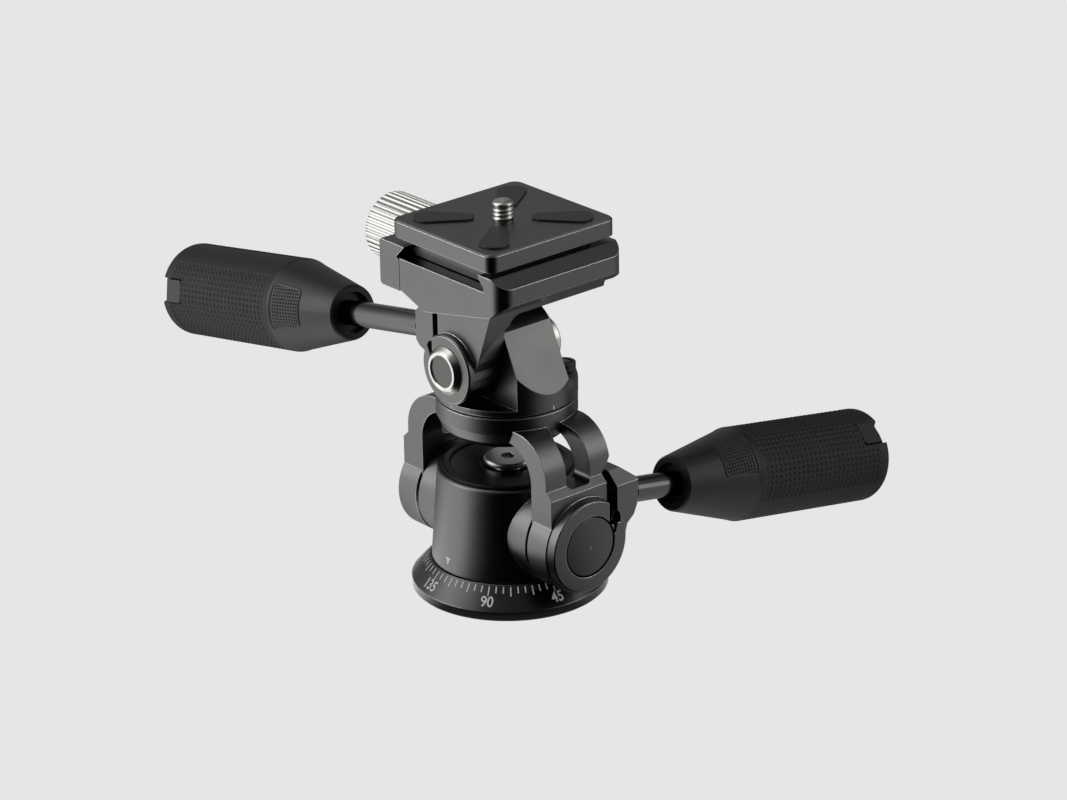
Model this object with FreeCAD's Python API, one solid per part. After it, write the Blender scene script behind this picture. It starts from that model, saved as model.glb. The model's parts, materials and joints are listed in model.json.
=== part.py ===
import FreeCAD, Part

import math
import os

from FreeCAD import Rotation, Vector

# Three way pan tilt head for a tripod, in millimetres. Z is up and the origin is the centre of the
# base's bottom face. The lower pivot (tilt) lies along X, the upper pivot (side tilt) along Y.
# The camera looks toward -Y and the person stands at +Y. The tilt handle points to +Y and the side
# tilt handle to -X.

X = Vector(1, 0, 0)
Y = Vector(0, 1, 0)
Z = Vector(0, 0, 1)
ARC_MIDDLE = 1 - math.sqrt(0.5)   # how far a round corner's middle lies in, as a share of its radius

# Clearances and small edges
run = 0.05            # radial clearance of a shaft that turns in its hole
play = 0.2            # loose fit of a ring in its groove or a sleeve in its bore
gap = 0.3             # air between faces that move past each other
slack = 0.4           # thickness of a thrust washer between two flat faces
fine_edge = 0.3       # broken edge of a machined face
edge = 0.5            # small chamfer
soft_edge = 0.8       # chamfer that a hand feels
overlap = 1.0         # how deep one form runs into its neighbour before they are joined
through = 150.0       # length of a cutter that passes right through

# Base dial and its spindle
base_r = 30.0
rim_h = 3.0
dial_top_r = 24.2
dial_top_z = 9.4
spindle_r = 6.0
spindle_flange_r = 9.5
spindle_flange_h = 2.4
foot_recess = 0.4     # how far the flange stays above the base's bottom face
foot_groove_h = 1.2
foot_groove_outer_r = base_r - 4.0
foot_groove_inner_r = spindle_flange_r + 3.5
foot_screw_r = 1.0
foot_screw_head_r = 1.9
foot_screw_head_h = 1.2
foot_screw_l = 5.6
foot_screw_count = 3
foot_screw_place = spindle_flange_r - 2.2
tripod_thread_r = 4.3
tripod_thread_depth = 12.0
slide_ring_r = dial_top_r - 1.8
slide_ring_inner_r = spindle_r + 6.0
slide_ring_h = 1.2

# Panning body
body_bottom_z = dial_top_z + gap
body_bottom_r = dial_top_r - 0.5
body_top_r = body_bottom_r - 2.1
body_top_z = body_bottom_z + 29.1
body_foot_h = 0.6
body_edge = 1.2
spindle_top_z = body_top_z - play
cover_r = body_top_r - 1.4
cover_top_z = body_top_z + 0.9
cover_h = 2.2
cover_band = 2.2      # width of the cover's flat rim
cover_dish = 0.4      # depth of each step of its dish
tilt_z = body_bottom_z + 13.7
boss_r = 15.0
boss_end = 24.9
trunnion_r = 9.2
trunnion_bolt_r = 3.0
trunnion_bolt_in = spindle_r + 5.0
bolt_head_r = 5.0
bolt_head_h = 4.0
bolt_pocket = 5.0
bolt_socket_af = 4.0
bolt_socket_depth = 2.5

# Screw in the middle of the cover
cap_screw_r = 7.4
cap_screw_h = 1.3
cap_neck_r = 4.6
cap_shank_r = 3.0
cap_shank_l = 9.0
cap_socket_af = 4.0
cap_socket_depth = 3.0
blind_end = 1.0       # empty hole left under a screw's end

# Tilt yoke
arm_w = 9.0
arm_inner = boss_end + slack
arm_outer = arm_inner + arm_w
arm_disc_r = boss_r + 0.2
ring_face = arm_outer + 3.0
left_ring_proud = 1.0
ring_r = 14.3
cap_r = trunnion_r + gap
cap_dome = 0.7
cap_sunk = 0.2
cap_seat = 1.8        # how deep the cover of a pivot sits below the ring's face
bush_wall = 0.45
washer_in = 0.8       # how far a thrust washer keeps off its shaft
washer_out = 1.2      # how far it keeps off the face's edge
half_arm = 12.6
window_half = 4.7
rib_outer = arm_outer - 2.3
crown_top_z = tilt_z + 38.6
shoulder_r = 12.8
shoulder_top_z = crown_top_z - 4.0
inner_bend_r = 10.8
arm_root_x = 8.0
inner_top_z = shoulder_top_z - 4.0
ledge_high = tilt_z + 19.4
ledge_low = ledge_high - 2.2
window_bottom = ledge_high - 1.1
window_top = shoulder_top_z + 0.6
window_round = 2.0
slit_start = 9.3
slit_w = 2.7
slit_foot = 1.5       # height of the slit's lower end above the pivot's line
slit_tip = 0.6
slit_taper = 6.0
ring_slit_start = 7.6
relief_rise = 4.6     # height over which the rear rib gives way to the clamp's ear
lug_end = 20.5
lug_out = 1.7         # how far the ear stands out past the arm
lug_front_y = 16.5
lug_back_z = ledge_low - 1.2
lug_curve = ((0.6, 7.6), (2.0, 4.6), (4.6, 2.5))  # steps in from lug_end, and heights over the pivot
crown_step = 0.1
crown_band_h = 5.2
crown_neck_h = 3.2
crown_foot_h = 2.0
crown_neck_in = 1.4
crown_foot_in = 3.6

# Housing of the upper pivot
housing_r = 21.5
groove_h = 0.7
groove_deep = 1.0
disc_h = 1.7
disc_top_z = crown_top_z + groove_h + disc_h
flat_foot_z = disc_top_z + 3.6
flat_lean = 0.475     # how far the D-shaped flats lean in for each millimetre of height
roll_z = disc_top_z + 11.1
housing_head_r = housing_r - 4.4
housing_front = -11.4
housing_back = 7.0
rear_boss_r = 9.5
rear_boss_h = 3.0
rear_boss_end = housing_back + rear_boss_h
rear_shoulder_z = disc_top_z + 5.6
rear_round = 3.5
housing_screw_r = 1.5
housing_screw_head_r = 2.75
housing_screw_head_h = 3.0
housing_screw_seat = crown_top_z - 6.6
housing_screw_top = crown_top_z + 5.0
housing_screw_place = 7.5
crown_r = housing_r - crown_step
roll_axle_r = 7.0
roll_core_r = 5.0
roll_thread_l = 3.0
roll_nut_r = 7.6
roll_nut_h = 6.0
level_reach = housing_r - 4.17
level_angle = 43.83   # place of the spirit level, in degrees from +X
level_r = 3.6
level_vial_r = 2.6
level_h = 2.2
level_dome = 0.6

# Bracket of the side tilt
leg_back = housing_front - slack
leg_w = 9.1
leg_front = leg_back - leg_w
leg_middle_y = (leg_front + leg_back) / 2
leg_end_r = 10.8
collar_out = 2.4
platform_top_z = roll_z + 22.8
platform_h = 3.7
platform_low_z = platform_top_z - platform_h
platform_left = -16.5
leg_top_right = 18.6
leg_fillet = 3.5
swing_r = housing_r + slack
swing_near = 7.0      # the platform gives way to the housing between these two places in X
swing_far = 14.4
side_tilt_angle = 78.0
leg_slit_x = -8.6
leg_slit_w = 2.4
leg_slit_end = leg_slit_x + leg_slit_w
leg_slit_foot = roll_z + 1.0
ear_left = platform_left
ear_bottom_z = roll_z + 2.9
ear_top_z = roll_z + 15.3
ear_round = 1.6
roll_cap_face = leg_front - 4.3
roll_cap_h = 2.0
roll_cap_r = 6.4
roll_cap_flare_r = 7.4
roll_disc_r = 4.8
roll_disc_h = 1.5

# Clamp and plate
clamp_half = 24.3
clamp_right = 27.0
clamp_left = -19.2
clamp_corner = 5.0
floor_z = platform_top_z + 7.5
rail_h = 6.2
plate_bottom_z = floor_z + gap + rail_h
plate_h = 5.3
plate_top_z = plate_bottom_z + plate_h
lip_top_z = plate_bottom_z - 1.7
lip_flat_x = 22.5
band_high_z = lip_top_z - 3.0
band_low_z = platform_top_z + 4.0
under_x = 21.5
apron_left_z = platform_top_z - 2.4
apron_low = (-8.3, platform_top_z - 6.4)
apron_right = (leg_top_right - slack, platform_top_z - 0.8)
dovetail_half = 19.0
dovetail_neck = 16.7
dovetail_side = 1.2
jaw_left = clamp_left - 9.2
jaw_low_z = platform_top_z - 2.9
jaw_top_z = lip_top_z - 0.8
jaw_apex_z = floor_z + gap
jaw_apex_h = 0.2
jaw_face_gap = 0.22
knob_washer_h = 0.6
knob_washer_r = 5.0
clamp_screw_z = platform_top_z + 3.2
clamp_screw_r = 2.5
clamp_screw_end = 9.0
clamp_thread_end = 12.0
guide_pin_r = 1.5
guide_pin_y = clamp_half - 9.3
guide_pin_seat = 2.0
guide_pin_l = 12.0
knob_r = 10.5
knob_inner = jaw_left - 2.6
knob_outer = knob_inner - 22.3
knob_collar_r = 5.6
knob_rim = 2.9        # width of the ridge round the knob's end face
knob_wall = 4.0       # thickness of the knob's closed end
knob_flutes = 36
flute_r = 0.62
plate_over = 0.25     # how far the plate reaches past each end of the clamp
plate_x = 45.7
plate_y = 2 * (clamp_half + plate_over)
plate_corner = 3.3
rail_short = 5.0      # how far the rail's ends stay back from the plate's
rail_pocket_h = 3.9
pad_h = 0.5
pad_length = 18.0
pad_width = 9.0
pad_near = 8.6
pad_root = 3.2
pad_shoulder = 5.6
pad_shoulder_at = 2.0
pad_tip = 3.6
camera_screw_r = 3.175
camera_screw_neck_r = 2.6
camera_screw_up = 5.5
camera_screw_tip = 0.7
screw_head_r = 8.0
screw_head_h = 2.6
coin_slot_w = 1.6
coin_slot_l = 13.0
coin_slot_h = 1.4
bracket_screw_r = 2.0
bracket_screw_head_r = 3.8
bracket_screw_head_z = floor_z - 0.4
bracket_screw_cone = 1.8
bracket_screw_l = 10.2
leg_screw_x = (-1.0, 12.0)
platform_screw_place = (-10.0, 8.0)

# Handles
rod_r = 3.9
stud_r = 2.5
grip_length = 82.0
cone_length = 25.5
cone_small_r = 8.6
cone_nose_r = 6.4
cone_nose_h = 2.2
cone_round = 0.6
cone_step = 1.6
grip_r = 14.6
core_r = 11.4
grip_round = 2.6
grip_end = 3.0        # depth of the plug in the grip's end
rod_short = 6.0       # how far the rod's end stays inside the grip's end
tab_half = 3.6
tab_length = 7.0
tab_sunk = 0.7
tab_notch = 0.6
tilt_handle_x = arm_inner + 5.7
tilt_handle_z = tilt_z + 13.7
tilt_handle_angle = 9.8
tilt_grip_start = 38.4
roll_handle_y = leg_middle_y
roll_handle_z = roll_z + 10.9
roll_handle_angle = 10.3
roll_grip_start = 53.1
tilt_grip_angle = -49.0
roll_grip_angle = -77.0
tilt_stud_in = 2.0
roll_stud_in = 0.5

# Pan lock
lock_z = body_bottom_z + 7.3
lock_screw_r = 2.5
lock_shoe_l = 3.0
lock_knob_r = 6.5
lock_knob_start = body_bottom_r + 2.3
lock_knob_l = 11.5
lock_knob_wall = 3.0
lock_collar_r = 4.6
lock_collar_h = 2.4
lock_lobes = 12
lock_groove_r = 0.8
lock_groove_deep = 0.6


def save(shape, node):
    """Write one sub-part under its own name."""
    shape.exportStep("parts/" + node + ".step")


def rod(radius, start, end, axis=Z, centre=(0, 0)):
    """Cylinder between two places on a main axis; centre gives the other two coordinates in order."""
    a, b = centre
    if axis == X:
        point = Vector(start, a, b)
    elif axis == Y:
        point = Vector(a, start, b)
    else:
        point = Vector(a, b, start)
    return Part.makeCylinder(radius, end - start, point, axis)


def tube(inner, outer, start, end, axis=Z, centre=(0, 0)):
    """Plain ring or sleeve between two places on a main axis."""
    bore = rod(inner, start - overlap, end + overlap, axis, centre)
    return rod(outer, start, end, axis, centre).cut(bore)


def block(x0, x1, y0, y1, z0, z1):
    """Box between six coordinates."""
    return Part.makeBox(x1 - x0, y1 - y0, z1 - z0, Vector(x0, y0, z0))


def face_of(steps, lift):
    """Closed flat face: a step of two numbers is a corner, one of four is an arc through a point."""
    here = steps[0]
    edges = []
    for step in steps[1:]:
        end = step[-2:]
        if len(step) == 4:
            edges.append(Part.Arc(lift(here), lift(step[:2]), lift(end)).toShape())
        else:
            edges.append(Part.LineSegment(lift(here), lift(end)).toShape())
        here = end
    if here != steps[0]:
        edges.append(Part.LineSegment(lift(here), lift(steps[0])).toShape())
    return Part.Face(Part.Wire(edges))


def prism_y(steps, y0, y1):
    """Outline in X and Z, pushed along Y."""
    return face_of(steps, lambda p: Vector(p[0], y0, p[1])).extrude(Vector(0, y1 - y0, 0))


def prism_x(steps, x0, x1):
    """Outline in Y and Z, pushed along X."""
    return face_of(steps, lambda p: Vector(x0, p[0], p[1])).extrude(Vector(x1 - x0, 0, 0))


def prism_z(steps, z0, z1):
    """Outline in X and Y, pushed along Z."""
    return face_of(steps, lambda p: Vector(p[0], p[1], z0)).extrude(Vector(0, 0, z1 - z0))


def turned(profile, origin=Vector(0, 0, 0), axis=Z):
    """Solid of revolution from radius and height pairs, with its own Z laid along an axis."""
    solid = face_of(profile, lambda p: Vector(p[0], 0, p[1])).revolve(Vector(0, 0, 0), Z, 360)
    solid.Placement = FreeCAD.Placement(origin, Rotation(Z, axis))
    return solid


def dome(edge_r, edge_z, height):
    """Step of a profile that closes it with a round dome, from its edge to the axis."""
    ball = (edge_r ** 2 + height ** 2) / (2 * height)
    middle = edge_z + height - ball + math.sqrt(ball ** 2 - edge_r ** 2 / 4)
    return edge_r / 2, middle, 0, edge_z + height


def joined(shapes):
    """One solid from several that overlap."""
    whole = shapes[0]
    for shape in shapes[1:]:
        whole = whole.fuse(shape)
    return whole.removeSplitter()


def less(shape, tools):
    """A solid with several others cut away."""
    for tool in tools:
        shape = shape.cut(tool)
    return shape


def hexagon(across_flats, z0, z1):
    """Hexagonal prism about Z."""
    r = across_flats / math.sqrt(3)
    corners = [(r * math.cos(math.radians(60 * k)), r * math.sin(math.radians(60 * k))) for k in range(6)]
    return prism_z(corners, z0, z1)


def around(shape, count):
    """Copies of a shape at even turns about Z."""
    copies = []
    for k in range(count):
        copy = shape.copy()
        copy.rotate(Vector(0, 0, 0), Z, 360.0 * k / count)
        copies.append(copy)
    return copies


def mirrored(steps, side):
    """The X and Z steps of an outline as they are for side 1, and mirrored in X for side -1."""
    return [tuple(side * v if k % 2 == 0 else v for k, v in enumerate(step)) for step in steps]


# Base

def base_dial():
    """Coned disc that carries the degree scale and stays on the tripod."""
    recess_z = dial_top_z - slide_ring_h + gap
    dial = turned([(spindle_r, 0), (base_r - edge, 0), (base_r, edge), (base_r, rim_h),
                   (dial_top_r, dial_top_z), (slide_ring_r, dial_top_z), (slide_ring_r, recess_z),
                   (slide_ring_inner_r, recess_z), (slide_ring_inner_r, dial_top_z),
                   (spindle_r, dial_top_z)])
    flange_seat = rod(spindle_flange_r, 0, foot_recess + spindle_flange_h)
    groove = tube(foot_groove_inner_r, foot_groove_outer_r, 0, foot_groove_h)
    return less(dial, [flange_seat, groove] + base_screws())


def base_screws():
    """Flat screws in the flange; they hold the spindle to the dial."""
    low = foot_recess
    neck = low + foot_screw_head_h
    top = low + foot_screw_l
    screw = turned([(0, low), (foot_screw_head_r, low), (foot_screw_r, neck), (foot_screw_r, top), (0, top)])
    screw.translate(Vector(foot_screw_place, 0, 0))
    return around(screw, foot_screw_count)


def pan_spindle():
    """Steel post that stands in the dial, with the tripod thread in its foot."""
    foot = foot_recess
    flange_z = foot + spindle_flange_h
    hole_z = spindle_top_z - cap_shank_l - blind_end
    thread_z = foot + tripod_thread_depth
    post = turned([(tripod_thread_r, foot), (spindle_flange_r, foot), (spindle_flange_r, flange_z),
                   (spindle_r, flange_z), (spindle_r, spindle_top_z), (cap_shank_r, spindle_top_z),
                   (cap_shank_r, hole_z), (0, hole_z), (0, thread_z), (tripod_thread_r, thread_z)])
    return less(post, base_screws())


def pan_slide_ring():
    """Nylon ring that the panning body turns on."""
    low = dial_top_z - slide_ring_h + gap
    return tube(slide_ring_inner_r + play, slide_ring_r - play, low, body_bottom_z)


def pan_cap_screw():
    """Bright flat screw that closes the spindle, with its hexagon socket."""
    low = cover_top_z + gap
    top = low + cap_screw_h
    head = turned([(0, low), (cap_screw_r, low), (cap_screw_r, top - edge), (cap_screw_r - edge, top),
                   (0, top)])
    neck = rod(cap_neck_r, spindle_top_z, low)
    shank = rod(cap_shank_r, spindle_top_z - cap_shank_l, spindle_top_z)
    return joined([head, neck, shank]).cut(hexagon(cap_socket_af, top - cap_socket_depth, top))


# Panning body

def pan_body():
    """Tapered drum with a boss on each side for the tilt pivot."""
    bend = body_edge * ARC_MIDDLE
    drum = turned([(0, body_bottom_z), (body_bottom_r, body_bottom_z),
                   (body_bottom_r, body_bottom_z + body_foot_h), (body_top_r, body_top_z - body_edge),
                   (body_top_r - bend, body_top_z - bend, body_top_r - body_edge, body_top_z),
                   (0, body_top_z)])
    bosses = rod(boss_r, -boss_end, boss_end, X, (0, tilt_z))
    bosses = bosses.cut(block(-through, through, -through, through, -through, body_bottom_z))
    cuts = [rod(spindle_r + run, 0, through), rod(cover_r, cover_top_z - cover_h, through)]
    cuts.append(rod(trunnion_bolt_r, trunnion_bolt_in, through, X, (0, tilt_z)))
    cuts.append(rod(trunnion_bolt_r, -through, -trunnion_bolt_in, X, (0, tilt_z)))
    cuts.append(rod(lock_screw_r + run, spindle_r, through, Y, (0, lock_z)))
    return less(joined([drum, bosses]), cuts)


def pan_top_cover():
    """Dark dished plate that closes the drum."""
    low = cover_top_z - cover_h
    first = cover_top_z - cover_dish
    second = first - cover_dish
    rim_r = cover_r - cover_band
    seat_r = cap_screw_r + 2 * cover_dish
    return turned([(spindle_r + run, low), (cover_r, low), (cover_r, cover_top_z - edge),
                   (cover_r - edge, cover_top_z), (rim_r, cover_top_z), (rim_r - 2 * cover_dish, first),
                   (seat_r + cover_dish, first), (seat_r, second), (spindle_r + run, second)])


def pan_lock_shoe():
    """Nylon plug that the lock screw presses on the spindle."""
    start = spindle_r + gap
    return rod(lock_screw_r, start, start + lock_shoe_l, Y, (0, lock_z))


def pan_lock_screw():
    """Threaded pin of the pan lock."""
    end = lock_knob_start + lock_knob_l - lock_knob_wall
    return rod(lock_screw_r, spindle_r + gap + lock_shoe_l, end, Y, (0, lock_z))


def pan_lock_knob():
    """Small lobed knob at the back of the drum."""
    end = lock_knob_l
    neck = lock_collar_h
    knob = turned([(lock_screw_r, 0), (lock_collar_r, 0), (lock_collar_r, neck),
                   (lock_knob_r - soft_edge, neck), (lock_knob_r, neck + soft_edge),
                   (lock_knob_r, end - soft_edge), (lock_knob_r - soft_edge, end), (0, end),
                   (0, end - lock_knob_wall), (lock_screw_r, end - lock_knob_wall)])
    place = Vector(lock_knob_r - lock_groove_deep + lock_groove_r, 0, neck + soft_edge)
    knob = less(knob, around(Part.makeCylinder(lock_groove_r, end, place), lock_lobes))
    knob.Placement = FreeCAD.Placement(Vector(0, lock_knob_start, lock_z), Rotation(Z, Y))
    return knob


def on_tilt_line(side, shape):
    """Lay a shape built along Z on the tilt pivot's line; side is 1 for +X and -1 for -X."""
    shape.Placement = FreeCAD.Placement(Vector(0, 0, tilt_z), Rotation(Z, X * side))
    return shape


def trunnion(side):
    """Aluminium sleeve on the boss."""
    end = ring_face - cap_seat
    seat = end - bolt_pocket
    pocket_r = bolt_head_r + slack
    return on_tilt_line(side, turned([(trunnion_bolt_r, boss_end), (trunnion_r, boss_end), (trunnion_r, end),
                                      (pocket_r, end), (pocket_r, seat), (trunnion_bolt_r, seat)]))


def trunnion_bolt(side):
    """Socket screw that draws the sleeve onto the boss."""
    seat = ring_face - cap_seat - bolt_pocket
    top = seat + bolt_head_h
    screw = joined([rod(trunnion_bolt_r, trunnion_bolt_in, seat), rod(bolt_head_r, seat, top)])
    return on_tilt_line(side, screw.cut(hexagon(bolt_socket_af, top - bolt_socket_depth, top)))


def tilt_cap(side):
    """Slightly domed cover pressed on the end of the sleeve."""
    low = ring_face - cap_seat
    high = ring_face - cap_sunk
    rim = cap_r - edge
    return on_tilt_line(side, turned([(0, low), (cap_r, low), (cap_r, high - edge), (rim, high),
                                      dome(rim, high, cap_dome)]))


# Tilt yoke

def crown():
    """Round head of the yoke, necked in below so that it passes over the dial."""
    band_z = crown_top_z - crown_band_h
    neck_z = band_z - crown_neck_h
    foot_z = neck_z - crown_foot_h
    return turned([(0, foot_z), (crown_r - crown_foot_in, foot_z), (crown_r - crown_neck_in, neck_z),
                   (crown_r, band_z), (crown_r, crown_top_z - fine_edge),
                   (crown_r - fine_edge, crown_top_z), (0, crown_top_z)])


def arm(side):
    """Curved arm that comes down from the crown, as two ribs round a window."""
    outer_x = rib_outer - shoulder_r
    outer_z = shoulder_top_z - shoulder_r
    inner_x = arm_inner - inner_bend_r
    inner_z = inner_top_z - inner_bend_r
    bend = math.sqrt(0.5)
    steps = [(arm_root_x, shoulder_top_z), (outer_x, shoulder_top_z),
             (outer_x + shoulder_r * bend, outer_z + shoulder_r * bend, rib_outer, outer_z),
             (rib_outer, ledge_high), (arm_outer, ledge_low), (arm_outer, tilt_z),
             (arm_inner, tilt_z), (arm_inner, inner_z),
             (inner_x + inner_bend_r * bend, inner_z + inner_bend_r * bend, inner_x, inner_top_z),
             (arm_root_x, inner_top_z)]
    solid = prism_y(mirrored(steps, side), -half_arm, half_arm)
    x0, x1 = sorted((side * inner_x, side * (arm_outer + overlap)))
    return solid.cut(prism_x(window_outline(), x0, x1))


def window_outline():
    """Outline in Y and Z of an arm's window, round at the top and at its lower corners."""
    spring_z = window_top - window_half
    low = window_bottom
    r = window_round
    bend = r * ARC_MIDDLE
    wide = window_half
    return [(r - wide, low), (wide - r, low), (wide - bend, low + bend, wide, low + r), (wide, spring_z),
            (0, window_top, -wide, spring_z), (-wide, low + r), (bend - wide, low + bend, r - wide, low)]


def arm_disc(side):
    """Round end of an arm with the proud ring of the pivot."""
    proud = ring_face if side > 0 else arm_outer + left_ring_proud
    return on_tilt_line(side, turned([(0, arm_inner), (arm_disc_r - soft_edge, arm_inner),
                                      (arm_disc_r, arm_inner + soft_edge), (arm_disc_r, arm_outer),
                                      (ring_r + edge, arm_outer), (ring_r, proud - fine_edge),
                                      (ring_r - fine_edge, proud), (0, proud)]))


def clamp_ear():
    """Outer jaw of the split clamp; its sloping top carries on the ledge of the arm."""
    start = slit_start + slit_w
    face = arm_outer + lug_out
    curve = [(lug_end - back, tilt_z + high) for back, high in lug_curve]
    side_view = prism_x([(start, tilt_z), (start, ledge_high), (lug_front_y, ledge_high),
                         (lug_end, lug_back_z)] + curve + [(arm_disc_r, tilt_z)], arm_inner, face)
    slope = (ledge_high - ledge_low) / (arm_outer - rib_outer)
    low_z = ledge_high - slope * (face - rib_outer)
    return side_view.common(prism_y([(arm_inner, tilt_z), (face, tilt_z), (face, low_z),
                                     (rib_outer, ledge_high), (arm_inner, ledge_high)], start, lug_end))


def ear_relief():
    """Wedge taken off the right arm's rear rib, so that the ear is free above the slit."""
    high = ledge_high + relief_rise
    return prism_x([(slit_start, ledge_high - overlap), (slit_start, ledge_high), (half_arm, high),
                    (half_arm + overlap, high), (half_arm + overlap, ledge_high - overlap)],
                   arm_inner - overlap, arm_outer + overlap)


def handle_line(start, angle, direction):
    """Line of a handle: its start and its unit direction, leaning down by an angle in degrees."""
    down = math.radians(angle)
    return start, direction * math.cos(down) - Z * math.sin(down)


tilt_line = handle_line(Vector(tilt_handle_x, 0, tilt_handle_z), tilt_handle_angle, Y)
roll_line = handle_line(Vector(0, roll_handle_y, roll_handle_z), roll_handle_angle, X * -1)


def on_line(line, shape):
    """Move a shape built along Z onto a handle's line."""
    shape.Placement = FreeCAD.Placement(line[0], Rotation(Z, line[1]))
    return shape


def rod_seat(face, angle):
    """Place on a handle's line where its rod clears an ear's upright face."""
    down = math.radians(angle)
    return face / math.cos(down) + rod_r * math.tan(down) + gap


def tilt_yoke():
    """Yoke with its crown, two arms and the split clamp of the tilt pivot."""
    right_arm = arm(1).cut(ear_relief())
    body = joined([crown(), right_arm, arm(-1), arm_disc(1), arm_disc(-1), clamp_ear()])
    foot_z = tilt_z + slit_foot
    end = slit_start + slit_w
    top = ledge_high
    slit = [(slit_start, top), (slit_start, foot_z), (slit_start + slit_tip, foot_z),
            (end, foot_z + slit_taper), (end, top)]
    cuts = [rod(trunnion_r + run + bush_wall, -through, through, X, (0, tilt_z))]
    cuts.append(prism_x(slit, arm_inner - overlap, ring_face + overlap))
    cuts.append(block(arm_outer, ring_face + overlap, ring_slit_start, end, foot_z + slit_taper / 2, top))
    cuts.append(on_line(tilt_line, rod(stud_r + run, -window_half, through)))
    for place in housing_screw_places():
        cuts.append(rod(housing_screw_r, 0, crown_top_z + overlap, Z, place))
        cuts.append(rod(housing_screw_head_r, 0, housing_screw_seat, Z, place))
    return less(body, cuts)


def housing_screw_places():
    """Four screws on a square between crown and housing."""
    a = housing_screw_place
    return [(a, a), (-a, a), (-a, -a), (a, -a)]


def housing_screws():
    """Socket screws that hold the upper housing on the crown, from below."""
    screws = []
    for place in housing_screw_places():
        low = housing_screw_seat - housing_screw_head_h
        head = rod(housing_screw_head_r, low, housing_screw_seat, Z, place)
        screws.append(joined([head, rod(housing_screw_r, housing_screw_seat, housing_screw_top, Z, place)]))
    return screws


def pivot_bush(side):
    """Nylon sleeve between an arm and its trunnion."""
    inner = trunnion_r + run
    x0, x1 = sorted((side * (arm_inner + play), side * (ring_face - cap_seat - slack)))
    return tube(inner, inner + bush_wall, x0, x1, X, (0, tilt_z))


def thrust_washer(side):
    """Thin nylon ring between boss and arm."""
    x0, x1 = sorted((side * boss_end, side * arm_inner))
    return tube(trunnion_r + washer_in, boss_r - washer_out, x0, x1, X, (0, tilt_z))


# Housing of the upper pivot

def housing_head():
    """Wedge with two leaning flats under a round top, kept within the round of the foot."""
    foot_z = crown_top_z + groove_h
    lean = math.atan(flat_lean)
    flat_distance = (housing_r - (roll_z - flat_foot_z) * flat_lean) * math.cos(lean)
    corner = lean + math.acos(flat_distance / housing_head_r)
    corner_x = housing_head_r * math.cos(corner)
    corner_z = roll_z + housing_head_r * math.sin(corner)
    wide = housing_r + overlap
    wide_z = flat_foot_z - overlap / flat_lean
    head = prism_y([(wide, foot_z), (wide, wide_z), (corner_x, corner_z),
                    (0, roll_z + housing_head_r, -corner_x, corner_z), (-wide, wide_z), (-wide, foot_z)],
                   housing_front, housing_back)
    return head.common(rod(housing_r, foot_z, through))


def housing_shoulder():
    """Lower rear part of the housing with its rounded rim."""
    foot_z = crown_top_z + groove_h
    bend = rear_round * ARC_MIDDLE
    top = rear_shoulder_z
    shoulder = turned([(0, foot_z), (housing_r, foot_z), (housing_r, top - rear_round),
                       (housing_r - bend, top - bend, housing_r - rear_round, top), (0, top)])
    return shoulder.common(block(-through, through, housing_back - overlap, through, 0, through))


def pivot_housing():
    """Round foot with a wedge-shaped head that carries the side tilt pivot."""
    foot_z = crown_top_z + groove_h
    neck = rod(housing_r - groove_deep, crown_top_z, disc_top_z)
    boss = rod(rear_boss_r, housing_back - overlap, rear_boss_end, Y, (0, roll_z))
    body = joined([neck, rod(housing_r, foot_z, disc_top_z), housing_head(), housing_shoulder(), boss])
    cuts = [rod(roll_core_r, -through, through, Y, (0, roll_z))]
    cuts.append(rod(roll_nut_r + gap, rear_boss_end, through, Y, (0, roll_z)))
    cuts += [rod(housing_screw_r, 0, housing_screw_top, Z, place) for place in housing_screw_places()]
    return less(body, cuts)


def roll_axle():
    """Stepped steel pin that the bracket turns on."""
    thick = rod(roll_axle_r, roll_cap_face + roll_cap_h, housing_front, Y, (0, roll_z))
    return joined([thick, rod(roll_core_r, housing_front, rear_boss_end + roll_thread_l, Y, (0, roll_z))])


def roll_axle_nut():
    """Bright cap nut at the back of the housing."""
    high = roll_nut_h
    nut = turned([(roll_core_r, 0), (roll_nut_r, 0), (roll_nut_r, high - soft_edge),
                  (roll_nut_r - soft_edge, high), (0, high), (0, roll_thread_l),
                  (roll_core_r, roll_thread_l)])
    nut.Placement = FreeCAD.Placement(Vector(0, rear_boss_end, roll_z), Rotation(Z, Y))
    return nut


def roll_cap_ring():
    """Bright flared ring at the front end of the pin."""
    deep = roll_cap_h
    ring = turned([(roll_disc_r, 0), (roll_axle_r, 0), (roll_cap_flare_r, play), (roll_cap_r, deep - edge),
                   (roll_cap_r - edge, deep), (roll_disc_r + fine_edge, deep),
                   (roll_disc_r, deep - fine_edge)])
    ring.Placement = FreeCAD.Placement(Vector(0, roll_cap_face + deep, roll_z), Rotation(Z, Y * -1))
    return ring


def roll_cap_disc():
    """Dark inlay inside the bright ring."""
    end = roll_cap_face + roll_cap_h
    return rod(roll_disc_r, end - roll_disc_h, end, Y, (0, roll_z))


def level_place():
    """Centre of the spirit level on the rear shoulder."""
    turn = math.radians(level_angle)
    return level_reach * math.cos(turn), level_reach * math.sin(turn)


def level_holder():
    """Small round cup of the spirit level on the rear shoulder."""
    return tube(level_vial_r, level_r, rear_shoulder_z, rear_shoulder_z + level_h, Z, level_place())


def level_vial():
    """Clear domed vial of the spirit level."""
    x, y = level_place()
    rim = level_h - fine_edge
    r = level_vial_r
    vial = turned([(0, 0), (r, 0), (r, rim), dome(r, rim, level_dome)])
    vial.translate(Vector(x, y, rear_shoulder_z))
    return vial


# Bracket of the side tilt

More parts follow.
